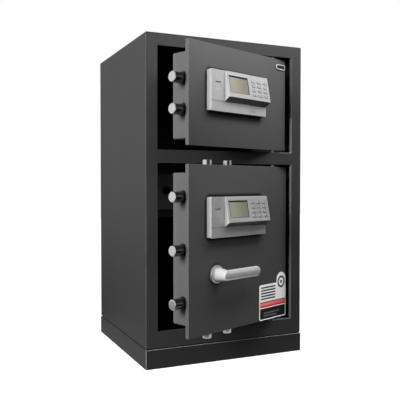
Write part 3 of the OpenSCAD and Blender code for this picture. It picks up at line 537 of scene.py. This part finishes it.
class CoatSettings(bpy.types.PropertyGroup):
    """Coats of the cabinet and its doors."""

    cabinet: bpy.props.FloatVectorProperty(
        name="Cabinet coat", description="Colour of the cabinet's powder coat", subtype="COLOR",
        size=3, min=0, max=1, default=(0.0138, 0.0138, 0.0143))
    door: bpy.props.FloatVectorProperty(
        name="Door coat", description="Colour of the doors' powder coat", subtype="COLOR",
        size=3, min=0, max=1, default=(0.05, 0.05, 0.051))
    box: bpy.props.FloatVectorProperty(
        name="Bolt box coat", description="Colour of the bolt boxes' powder coat", subtype="COLOR",
        size=3, min=0, max=1, default=(0.05, 0.05, 0.051))
    inside: bpy.props.FloatVectorProperty(
        name="Inner coat", description="Colour of the shelves and the inner locker", subtype="COLOR",
        size=3, min=0, max=1, default=(0.08, 0.08, 0.082))
    edge: bpy.props.FloatProperty(
        name="Edge radius", description="Rounding of coated sheet edges", subtype="DISTANCE",
        unit="LENGTH", default=0.0007, min=0.0001, max=0.002)


class MetalSettings(bpy.types.PropertyGroup):
    """Bare and plated metal."""

    bolt: bpy.props.FloatVectorProperty(
        name="Bolt plating", description="Colour of the bolts' chrome plate", subtype="COLOR",
        size=3, min=0, max=1, default=(0.78, 0.78, 0.8))
    handle: bpy.props.FloatVectorProperty(
        name="Handle plating", description="Colour of the lever's satin nickel", subtype="COLOR",
        size=3, min=0, max=1, default=(0.86, 0.855, 0.845))
    plate: bpy.props.FloatVectorProperty(
        name="Zinc plating", description="Colour of the boltwork and hinge pins", subtype="COLOR",
        size=3, min=0, max=1, default=(0.6, 0.6, 0.59))


class LockSettings(bpy.types.PropertyGroup):
    """Electronic locks."""

    housing: bpy.props.FloatVectorProperty(
        name="Housing", description="Colour of the lock housing's lacquer", subtype="COLOR",
        size=3, min=0, max=1, default=(0.43, 0.43, 0.436))
    key: bpy.props.FloatVectorProperty(
        name="Key", description="Colour of the keys", subtype="COLOR",
        size=3, min=0, max=1, default=(0.21, 0.213, 0.218))
    legend: bpy.props.FloatVectorProperty(
        name="Legend", description="Colour of the digits on the keys", subtype="COLOR",
        size=3, min=0, max=1, default=(0.02, 0.02, 0.022))
    pane: bpy.props.FloatVectorProperty(
        name="Display", description="Colour of the unlit display", subtype="COLOR",
        size=3, min=0, max=1, default=(0.5, 0.475, 0.375))
    legend_size: bpy.props.FloatProperty(
        name="Legend height", description="Size of the digits on the keys", subtype="DISTANCE",
        unit="LENGTH", default=0.0056, min=0.003, max=0.007)


class StageSettings(bpy.types.PropertyGroup):
    """Camera, floor and light."""

    lens: bpy.props.FloatProperty(
        name="Lens", description="Focal length of the camera on a 36 mm sensor", subtype="DISTANCE_CAMERA",
        unit="CAMERA", default=54.49, min=20, max=200)
    eye: bpy.props.FloatVectorProperty(
        name="Eye", description="Place of the camera", subtype="TRANSLATION", unit="LENGTH",
        size=3, default=(-0.6775, -1.5622, 0.4419))
    turn: bpy.props.FloatProperty(
        name="Turn", description="Direction of view, from +Y towards +X", subtype="ANGLE",
        unit="ROTATION", default=math.radians(23.96))
    tilt: bpy.props.FloatProperty(
        name="Tilt", description="Direction of view, below the horizon", subtype="ANGLE",
        unit="ROTATION", default=math.radians(1.5))
    room: bpy.props.FloatProperty(
        name="Room light", description="Strength of the light from all round", default=0.35, min=0, max=3)


# Operators


class SAFE_OT_cabinet(bpy.types.Operator):
    """Coats the cabinet, its shelf and its inner locker"""

    bl_idname = "safe.cabinet"
    bl_label = "Finish the cabinet"
    # half the casing's sheet, radius of folded edges, width of the frame's uprights, gap round a shut door
    half_sheet = 0.0015
    fold_r = 0.0014
    stile_w = 0.03
    door_gap = 0.005
    # painted light: how much lighter the coat is on other parts, grey of the painted edge highlight,
    # and how far back the plinth's edges get it
    frame_painted_light = 1.6
    plinth_painted_light = 1.05
    flap_painted_light = 3.5
    painted_edge_light = 0.8
    plinth_rim = 0.003
    # painted highlight strips: width on the frame, reach into the opening and to the back, height of the
    # foot
    rim_w = 0.0017
    rim_in = 0.0005
    rim_deep = 0.0075
    rim_foot = 0.09
    # grey of the strip beside an opening, grey of its foot, and length of the strip below
    rim_highlight = {"lower": (0.095, 0.105, 0.11), "upper": (0.045, 0.13, 0.035)}
    rim_below = 0.85

    def execute(self, context):
        coats = context.scene.safe_coats
        low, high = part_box("casing")
        # inside the casing's sheet the coat is painted black, as shade for the unlit inside
        inner = (low + Vector((1, 3, 1)) * self.half_sheet, high + Vector((-1, 1, -1)) * self.half_sheet)
        cabinet = powder_coat("cabinet_coat", coats.cabinet, inner=inner)
        paint(("casing", "back_panel"), cabinet, coats.edge)
        # the frame has the cabinet's paint, painted lighter as painted light
        tone = shade(coats.cabinet, self.frame_painted_light)
        front_frame = powder_coat("frame_coat", tone, painted_edge_grey=self.painted_edge_light, painted_highlight_strips=self.painted_highlight_strips())
        paint(("front_frame",), front_frame, self.fold_r, segments=3)
        # the plinth has the cabinet's paint, painted slightly lighter as painted light
        tone = shade(coats.cabinet, self.plinth_painted_light)
        front = reach("plinth", FRONT)[1] - self.plinth_rim
        paint(("plinth",), powder_coat("plinth_coat", tone, painted_edge_grey=self.painted_edge_light, front=front), self.fold_r, 3)
        paint(("partition", "locker_case"), powder_coat("inner_coat", coats.inside), coats.edge)
        # the locker flap is painted lighter, as painted light in the dark compartment
        tone = shade(coats.inside, self.flap_painted_light)
        paint(("locker_flap",), powder_coat("flap_coat", tone), coats.edge)
        return {"FINISHED"}

    def painted_highlight_strips(self):
        """Strips of painted highlight on the frame at the right end of each opening: two corners of a box
        and a grey.
        """
        face = reach("front_frame", BACK)[0]
        front, back = face - self.rim_deep, face + self.rim_deep
        opening = reach("front_frame", RIGHT)[1] - self.stile_w
        near, far = opening - self.rim_in, opening + self.rim_w
        strips = []
        for pad, (level, foot_level, run) in self.rim_highlight.items():
            low, high = reach(f"{pad}_door_plate", UP)
            low, high = low - self.door_gap, high + self.door_gap
            strips.append(((near, front, low), (far, back, high), level))
            strips.append(((near, front, low), (far, back, low + self.rim_foot), foot_level))
            below = self.rim_below * foot_level
            strips.append(((near - run, front, low - self.rim_w), (far, back, low), below))
        return strips


class SAFE_OT_doors(bpy.types.Operator):
    """Coats the door plates and the bolt boxes"""

    bl_idname = "safe.doors"
    bl_label = "Finish the doors"
    # how far the front's coat goes round the edge, reach of the painted shade in corners, and edges of the
    # boxes
    front_coat = 0.0008
    door_painted_shade = 0.013
    box_painted_shade = 0.006
    box_edge = 0.0005

    def execute(self, context):
        coats = context.scene.safe_coats
        # painted shade round the bolts on the boxes
        box = powder_coat("box_coat", coats.box, painted_shade=self.box_painted_shade)
        for pad in PADS:
            plate = f"{pad}_door_plate"
            rear = (OUT, reach(plate, OUT)[1] - self.front_coat, coats.box)
            # painted shade round the locks and the handle on the doors
            door = powder_coat(f"{pad}_door_coat", coats.door, rear=rear, painted_shade=self.door_painted_shade)
            paint((plate,), door, coats.edge)
            paint((f"{pad}_bolt_box", f"{pad}_rear_cover"), box, self.box_edge)
        return {"FINISHED"}


class SAFE_OT_boltwork(bpy.types.Operator):
    """Plates the bolts, the boltwork and the hinges"""

    bl_idname = "safe.boltwork"
    bl_label = "Finish the boltwork"
    # radius of the edges
    bolt_edge = 0.0008
    bar_edge = 0.0004
    pin_edge = 0.0003
    knob_edge = 0.0005

    def execute(self, context):
        metals = context.scene.safe_metals
        # the side bolts' shafts carry painted shade
        across = plated_steel("bolt_chrome_across", metals.bolt, rough=0.18, turned=ALONG, painted_shaft_shade=0.16)
        upright = plated_steel("bolt_chrome_upright", metals.bolt, rough=0.2, turned=UP)
        zinc = plated_steel("zinc_plate", metals.plate, rough=0.42)
        turned = plated_steel("turned_steel", metals.plate, rough=0.3, turned=UP)
        knob = moulded_plastic("knob_black", grey(0.012), rough=0.4)
        paint(("upper_side_bolts", "lower_side_bolts"), across, self.bolt_edge, segments=3)
        paint(("top_bolts", "bottom_bolts"), upright, self.bolt_edge, segments=3)
        bars = ("side_bolt_bar", "top_bolt_bar", "bottom_bolt_bar")
        paint(("hinge_blocks", *bars, "upper_actuator"), zinc, self.bar_edge)
        paint(("upper_hinge_pins", "lower_hinge_pins", "spiral_cam"), turned, self.pin_edge)
        paint(("locker_knob",), knob, self.knob_edge)
        return {"FINISHED"}


class SAFE_OT_handle(bpy.types.Operator):
    """Plates the lever and its rosette"""

    bl_idname = "safe.handle"
    bl_label = "Finish the handle"
    # the lever's axis from its near end, and the neck's radius at its foot and along the door at the mitre
    axis_in = 0.0175
    neck_r = 0.0165
    mitre_r = 0.0136
    # the bar: how far it stays behind the node's face, half its height, its thickness and its round end
    sunk = 0.0007
    bar_half = 0.01225
    bar_t = 0.013
    end_r = 0.0102
    end_thinned = 0.45
    # how square the sections are, their points, and the radius of the edge at the neck's foot
    neck_power = 2.0
    bar_power = 2.4
    grip_sides = 48
    grip_edge = 0.003

    def execute(self, context):
        metals = context.scene.safe_metals
        nickel = plated_steel("brushed_nickel", metals.handle, rough=0.32, brushed=ALONG, metal=0.7)
        self.add_grip(nickel)
        paint(("rosette",), plated_steel("turned_nickel", metals.handle, rough=0.3, metal=0.9))
        for polygon in NODES["rosette"].data.polygons:
            polygon.use_smooth = True
        return {"FINISHED"}

    def add_grip(self, material):
        """The lever in one smooth skin: its round neck turns through a mitre into the flattened bar."""
        (near, tip), (foot, face), (low, high) = (reach("lever", axis) for axis in (ALONG, OUT, UP))
        axis_s, axis_z = near + self.axis_in, (low + high) / 2
        face, end_s = face - self.sunk, tip - self.end_r

        def neck(share, c, q):
            s = axis_s + blend(self.neck_r, self.mitre_r, share) * c
            n = blend(foot, face - self.bar_t * (1 + c) / 2, share)
            return s, n, blend(self.neck_r, self.bar_half, share) * q

        def bar(share, c, q):
            s = blend(axis_s + self.mitre_r * c, end_s, share)
            return s, face - self.bar_t * (1 + c) / 2, self.bar_half * q

        def end(share, c, q):
            bend = math.pi / 2 * share
            drawn_in = 1 - math.cos(bend)
            s = end_s + self.end_r * math.sin(bend)
            n = face - self.bar_t * (1 + c * (1 - self.end_thinned * drawn_in)) / 2
            return s, n, (self.bar_half - self.end_r * drawn_in) * q

        bm = bmesh.new()
        loops = []
        for section, start, count in ((neck, 0, 8), (bar, 1, 10), (end, 1, 9)):
            for i in range(start, count + 1):
                share = i / count
                power = blend(self.neck_power, self.bar_power, share) if section is neck else self.bar_power
                spots = [section(share, c, q) for c, q in squircle(self.grip_sides, power)]
                loops.append([bm.verts.new(ALONG * s + OUT * n + UP * (axis_z + z)) for s, n, z in spots])
        skin(bm, loops, smooth=True)
        bm.faces.new(loops[0])
        bm.faces.new(loops[-1]).smooth = True
        grip = new_piece("lever_grip", mesh_from(bm, "lever_grip"), "handle", material)
        bevel(grip, self.grip_edge, segments=5, angle=30.0)
        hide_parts("lever")


class SAFE_OT_locks(bpy.types.Operator):
    """Finishes both electronic locks and puts legends on their keys"""

    bl_idname = "safe.locks"
    bl_label = "Finish the locks"
    # radius of the edges
    housing_edge = 0.0006
    key_edge = 0.0005
    # the ink of the legends: gap to the key, half its thickness, and how much bolder than the font
    ink_lift = 0.00003
    ink_t = 0.00002
    ink_bold = 0.00008

    def execute(self, context):
        locks = context.scene.safe_locks
        lacquer = metal_lacquer("silver_lacquer", locks.housing)
        key_plastic = moulded_plastic("key_plastic", locks.key, rough=0.38)
        ink = moulded_plastic("legend_ink", locks.legend, rough=0.5)
        for pad in PADS:
            housing = (f"{pad}_lock_base", f"{pad}_lock_bezel", f"{pad}_keyhole_cover")
            paint(housing, lacquer, self.housing_edge, segments=3)
            low, high = zip(reach(f"{pad}_display", ALONG), reach(f"{pad}_display", UP))
            paint((f"{pad}_display",), display_pane(f"{pad}_pane", locks.pane, low, high))
            for index, legend in enumerate(KEY_LEGENDS, start=1):
                node = f"{pad}_key_{index}"
                paint((node,), key_plastic, self.key_edge, segments=3)
                self.print_legend(node, legend, locks.legend_size, ink)
        return {"FINISHED"}

    def print_legend(self, node, legend, size, ink):
        """Prints one character on a key's face, upright as seen from the front."""
        outward = -KEY_PRESS
        tilt_up = outward.cross(ALONG).normalized()
        across = sum(reach(node, ALONG)) / 2
        rise = sum(reach(node, tilt_up)) / 2
        top = reach(node, outward)[1] + self.ink_lift
        centre = ALONG * across + tilt_up * rise + outward * top
        curve = bpy.data.curves.new(f"legend_{node}", "FONT")
        curve.body = legend
        curve.size = size
        curve.align_x = "CENTER"
        curve.align_y = "CENTER"
        curve.extrude = self.ink_t
        curve.offset = self.ink_bold
        curve.resolution_u = 3
        text = bpy.data.objects.new(f"legend_{node}", curve)
        bpy.context.scene.collection.objects.link(text)
        turned = Matrix((ALONG, tilt_up, outward)).transposed().to_4x4()
        text.matrix_world = Matrix.Translation(centre) @ turned
        bpy.context.view_layer.update()
        mesh = bpy.data.meshes.new_from_object(text.evaluated_get(bpy.context.evaluated_depsgraph_get()))
        mesh.transform(text.matrix_world)
        bpy.data.objects.remove(text)
        piece = new_piece(f"legend_{node}", mesh, node + "_cap", ink)


class SAFE_OT_label(bpy.types.Operator):
    """Sticks a generic label on the lower door and a plain bar on the upper one"""

    bl_idname = "safe.label"
    bl_label = "Add label and bar"
    # the label: its left side and tab from the door's free edge, its foot, shoulder and tab's top from
    # the door's foot, and the end of its straight right side from its own foot
    label_left = 0.25
    label_foot = 0.0006
    label_top = 0.0915
    label_slope = 0.06
    corner_r = 0.006
    corner_cut = 0.004
    shoulder_r = 0.005
    edge_in = 0.0005
    tab_x = 0.3405
    tab_r = 0.0195
    tab_top = 0.1175
    sheet_t = 0.0002
    print_t = 0.00004
    # the print, from the label's foot and left side: a black field and a red band
    margin = 0.003
    field_top = 0.03
    field_r = 0.004
    band_low = 0.0325
    band_top = 0.047
    band_r = 0.0005
    # pale lines on the field: foot and right end of each
    lines = ((0.0165, 0.082), (0.0095, 0.07))
    line_in = 0.018
    line_h = 0.0022
    line_r = 0.0009
    # black rows over the band, which end before the tab
    rows = 5
    rows_low = 0.0525
    row_step = 0.0072
    row_h = 0.0036
    row_r = 0.001
    row_in = 0.007
    row_end = 0.0245
    # a ring with a dot on the tab, below its round end's centre
    ring_down = 0.006
    ring_r = 0.0155
    hole_r = 0.0105
    ring_points = 28
    dot_r = 0.004
    dot_points = 18
    # the bar of the upper door: its size, its rim, and its place from the right and the top
    bar_l = 0.037
    bar_h = 0.0135
    bar_t = 0.0022
    bar_rim = 0.0022
    bar_print_t = 0.0001
    bar_flat = 0.0001
    bar_right = 0.0215
    bar_down = 0.0195

    def execute(self, context):
        self.add_label()
        self.add_bar()
        return {"FINISHED"}

    def add_label(self):
        door = DoorPlace("lower_door_plate")
        left, right = self.label_left, door.width - self.edge_in
        low = door.low + self.label_foot
        shoulder = door.low + self.label_top
        tab_z = door.low + self.tab_top - self.tab_r
        bm = bmesh.new()
        corner_r, shoulder_r = self.corner_r, self.shoulder_r
        outline = (
            [(left + self.corner_cut, low)]
            + arc((right - corner_r, low + corner_r), corner_r, -90, 0, 6)
            + [(right, low + self.label_slope)]
            + arc((self.tab_x, tab_z), self.tab_r, 0, 180, 16)
            + [(self.tab_x - self.tab_r, shoulder)]
            + arc((left + shoulder_r, shoulder - shoulder_r), shoulder_r, 90, 180, 5)
            + arc((left + corner_r, low + corner_r), corner_r, 180, 260, 5)
        )
        card(bm, outline, door.at, self.sheet_t)
        print_left, print_right = left + self.margin, right - self.margin
        first, second = self.sheet_t + self.print_t, self.sheet_t + 2 * self.print_t
        black, red, pale = 1, 2, 3

        def block(x0, z0, x1, z1, radius, lift, material_index, steps=6):
            card(bm, round_rect(x0, low + z0, x1, low + z1, radius, steps), door.at, lift, material_index)

        block(print_left, self.margin, print_right, self.field_top, self.field_r, first, black)
        block(print_left, self.band_low, print_right, self.band_top, self.band_r, first, red)
        for z, end in self.lines:
            block(left + self.line_in, z, left + end, z + self.line_h, self.line_r, second, pale, steps=2)
        row_left, row_right = left + self.row_in, self.tab_x - self.row_end
        for i in range(self.rows):
            z = self.rows_low + self.row_step * i
            block(row_left, z, row_right, z + self.row_h, self.row_r, first, black, steps=2)
        centre = (self.tab_x, tab_z - self.ring_down)
        ring = [circle(centre, radius, self.ring_points) for radius in (self.ring_r, self.hole_r)]
        skin(bm, [outline_loop(bm, outline, door.at, first) for outline in ring], material_index=black)
        card(bm, circle(centre, self.dot_r, self.dot_points), door.at, first, black)
        band_ends = (door.left + left, door.left + right, low + self.band_low, low + self.band_top)
        materials = (
            label_paper("label_paper"),
            moulded_plastic("label_black", PRINT_BLACK, rough=0.3),
            label_band("label_red", *band_ends),
            moulded_plastic("label_grey", grey(0.2), rough=0.4),
        )
        piece = new_piece("door_label", mesh_from(bm, "door_label"), "lower_door", *materials)

    def add_bar(self):
        door = DoorPlace("upper_door_plate")
        x, z = door.width - self.bar_right, door.high - self.bar_down
        bm = bmesh.new()
        for index, rim in enumerate((0.0, self.bar_rim)):
            half_l, half_h = self.bar_l / 2 - rim, self.bar_h / 2 - rim
            radius = half_h - self.bar_flat
            outline = round_rect(x - half_l, z - half_h, x + half_l, z + half_h, radius, steps=8)
            card(bm, outline, door.at, self.bar_t + self.bar_print_t * index, index)
        metal = plated_steel("bar_metal", grey(0.5), rough=0.3, brushed=ALONG, metal=0.4)
        inlay = moulded_plastic("bar_inlay", PRINT_BLACK, rough=0.25)
        piece = new_piece("door_bar", mesh_from(bm, "door_bar"), "upper_door", metal, inlay)


class SAFE_OT_fasteners(bpy.types.Operator):
    """Adds the screws of the rear covers"""

    bl_idname = "safe.fasteners"
    bl_label = "Add fasteners"
    # the screws: place from the cover's edges, size of the head, and turn of the recess in radians
    inset = 0.009
    head_r = 0.0034
    head_h = 0.0018
    first_turn = 0.3
    next_turn = 0.9

    def execute(self, context):
        steel = plated_steel("screw_zinc", context.scene.safe_metals.plate, rough=0.35)
        for pad in PADS:
            self.cover_screws(pad, steel)
        return {"FINISHED"}

    def cover_screws(self, pad, steel):
        """Six screws round a rear cover, each turned on from the one before."""
        cover = f"{pad}_rear_cover"
        (left, right), (low, high) = reach(cover, ALONG), reach(cover, UP)
        back = reach(cover, INTO)[1]
        bm = bmesh.new()
        turn = self.first_turn
        for share in (0.0, 0.5, 1.0):
            s = blend(left + self.inset, right - self.inset, share)
            for z in (low + self.inset, high - self.inset):
                screw(bm, ALONG * s + INTO * back + UP * z, INTO, self.head_r, self.head_h, turn)
                turn += self.next_turn
        piece = new_piece(f"{pad}_cover_screws", mesh_from(bm, f"{pad}_cover_screws"), f"{pad}_door", steel)


class SAFE_OT_stage(bpy.types.Operator):
    """Sets the floor, the lights, the world and the camera"""

    bl_idname = "safe.stage"
    bl_label = "Set the stage"
    floor_half = 6.0

    def execute(self, context):
        stage = context.scene.safe_stage
        self.floor()
        self.world(stage.room)
        self.lamp("side_light", (-1.85, -0.92, 1.15), aim=(-0.1, -0.2, 0.4), size=(0.8, 0.9), power=122)
        self.lamp("top_light", (0.22, -0.58, 1.05), aim=(0.0, -0.2, 0.5), size=(0.9, 0.25), power=9.6)
        self.camera(stage)
        context.scene.view_settings.view_transform = "Standard"
        return {"FINISHED"}

    def floor(self):
        """White to the camera but for the object's shadow; dim as a source of light, and grey near the
        object for what the metal mirrors."""
        bm = bmesh.new()
        half = self.floor_half
        corners = [bm.verts.new((x * half, y * half, 0)) for x, y in ((-1, -1), (1, -1), (1, 1), (-1, 1))]
        bm.faces.new(corners)
        mesh = mesh_from(bm, "floor")
        s = new_shader("floor_white")
        away = s.node("ShaderNodeVectorMath", {"operation": "LENGTH"}, {0: s.place()}, output="Value")
        far_left = s.dot(-RIGHT).rise(0.5, 1.5)
        pale = s.mix(s.noise(scale=3.0), grey(0.49), grey(0.51))
        glow = s.mix(away.rise(0.6, 1.8), grey(0.62), grey(1.0))
        lit = s.node("ShaderNodeBsdfDiffuse", inputs={0: pale})
        lifted = s.node("ShaderNodeEmission", inputs={0: glow})
        white = s.node("ShaderNodeAddShader", inputs={0: lit, 1: lifted})
        dark = s.mix(s.noise(scale=3.0), grey(0.06), grey(0.07))
        dim = s.node("ShaderNodeBsdfDiffuse", inputs={0: dark})
        shine = s.mix(away.rise(0.35, 0.55), grey(0.6), grey(0.04))
        mirror = s.node("ShaderNodeEmission", inputs={0: s.mix(far_left, shine, grey(0.7))})
        other = s.node("ShaderNodeMixShader", inputs={0: s.mirror_ray(), 1: dim, 2: mirror})
        both = s.node("ShaderNodeMixShader", inputs={0: s.camera_ray(), 1: other, 2: white})
        s.node("ShaderNodeOutputMaterial", inputs={0: both})
        mesh.materials.append(s.owner)
        floor = bpy.data.objects.new("floor", mesh)
        bpy.context.scene.collection.objects.link(floor)

    def world(self, strength):
        """White to the camera. The object is lit from behind, from the right, the front and above.
        What its metal mirrors is a dark room with a pale left side, a band of light low between the
        front and the right, a half-white ceiling and a white back."""
        world = bpy.data.worlds.new("studio")
        bpy.context.scene.world = world
        s = Shader(world)
        direction = s.node("ShaderNodeTexCoord")
        x, y, z = (s.node("ShaderNodeSeparateXYZ", inputs={0: direction}, output=axis) for axis in "XYZ")
        back = (y + x * 0.3).rise(0.3, 0.55)
        left = (-x).rise(0.25, 0.7)
        right = x.rise(0.5, 0.9)
        ceiling = z.rise(0.7, 0.95)
        band = right * z.rise(0.02, 0.1) * (0.63 - z.rise(0.2, 0.5) * 0.48) * (-y).rise(0.15, 0.42)
        mirror = 0.03 + left * 0.75 + band
        mirror = mirror + (1.0 - mirror) * back
        mirror = mirror + (1.0 - mirror) * ceiling * 0.5
        above = z.rise(0.1, 0.8)
        front = (-y).rise(0.2, 0.8)
        behind = (y + x * 0.8).rise(0.3, 0.9)
        ahead = (right * 2.3 + front * 1.7) * z.rise(-0.1, 0.5)
        around = 0.15 + above * 0.2 + left * 0.3 + back * 0.7 + behind * 3.5 + ahead
        room = s.node("ShaderNodeBackground", inputs={0: around, 1: strength})
        mirrored = s.node("ShaderNodeBackground", inputs={0: mirror})
        plain = s.node("ShaderNodeBackground", inputs={0: (1, 1, 1, 1)})
        other = s.node("ShaderNodeMixShader", inputs={0: s.mirror_ray(), 1: room, 2: mirrored})
        both = s.node("ShaderNodeMixShader", inputs={0: s.camera_ray(), 1: other, 2: plain})
        s.node("ShaderNodeOutputWorld", inputs={0: both})

    def lamp(self, name, place, aim, size, power):
        """Flat lamp that lights the object and is seen neither directly nor in the metal."""
        light = bpy.data.lights.new(name, "AREA")
        light.shape = "RECTANGLE"
        light.size, light.size_y = size
        light.energy = power
        lamp = bpy.data.objects.new(name, light)
        bpy.context.scene.collection.objects.link(lamp)
        lamp.location = place
        lamp.rotation_mode = "QUATERNION"
        lamp.rotation_quaternion = (Vector(aim) - Vector(place)).to_track_quat("-Z", "Y")
        lamp.visible_camera = False
        lamp.visible_glossy = False

    def camera(self, stage):
        data = bpy.data.cameras.new("camera")
        data.lens = stage.lens
        data.sensor_width = 36.0
        data.clip_start = 0.05
        data.clip_end = 50.0
        camera = bpy.data.objects.new("camera", data)
        bpy.context.scene.collection.objects.link(camera)
        camera.location = stage.eye
        camera.rotation_euler = (math.pi / 2 - stage.tilt, 0.0, -stage.turn)
        bpy.context.scene.camera = camera


class SAFE_PT_sidebar(bpy.types.Panel):
    """Lists the steps that dress the safe"""

    bl_idname = "SAFE_PT_sidebar"
    bl_label = "Electronic safe"
    bl_space_type = "VIEW_3D"
    bl_region_type = "UI"
    bl_category = "Safe"

    def draw(self, context):
        for group in GROUPS:
            box = self.layout.box()
            settings = getattr(context.scene, group)
            for name in settings.bl_rna.properties.keys():
                if name not in ("rna_type", "name"):
                    box.prop(settings, name)
        for operator in OPERATORS:
            self.layout.operator(operator.bl_idname)


GROUPS = {
    "safe_coats": CoatSettings,
    "safe_metals": MetalSettings,
    "safe_locks": LockSettings,
    "safe_stage": StageSettings,
}
OPERATORS = (
    SAFE_OT_cabinet,
    SAFE_OT_doors,
    SAFE_OT_boltwork,
    SAFE_OT_handle,
    SAFE_OT_locks,
    SAFE_OT_label,
    SAFE_OT_fasteners,
    SAFE_OT_stage,
)


def register():
    for name, group in GROUPS.items():
        bpy.utils.register_class(group)
        setattr(bpy.types.Scene, name, bpy.props.PointerProperty(type=group))
    for operator in OPERATORS:
        bpy.utils.register_class(operator)
    bpy.utils.register_class(SAFE_PT_sidebar)


def unregister():
    bpy.utils.unregister_class(SAFE_PT_sidebar)
    for operator in reversed(OPERATORS):
        bpy.utils.unregister_class(operator)
    for name, group in GROUPS.items():
        delattr(bpy.types.Scene, name)
        bpy.utils.unregister_class(group)


def main():
    register()
    for operator in OPERATORS:
        section, name = operator.bl_idname.split(".")
        getattr(getattr(bpy.ops, section), name)()


if __name__ == "__main__":
    main()
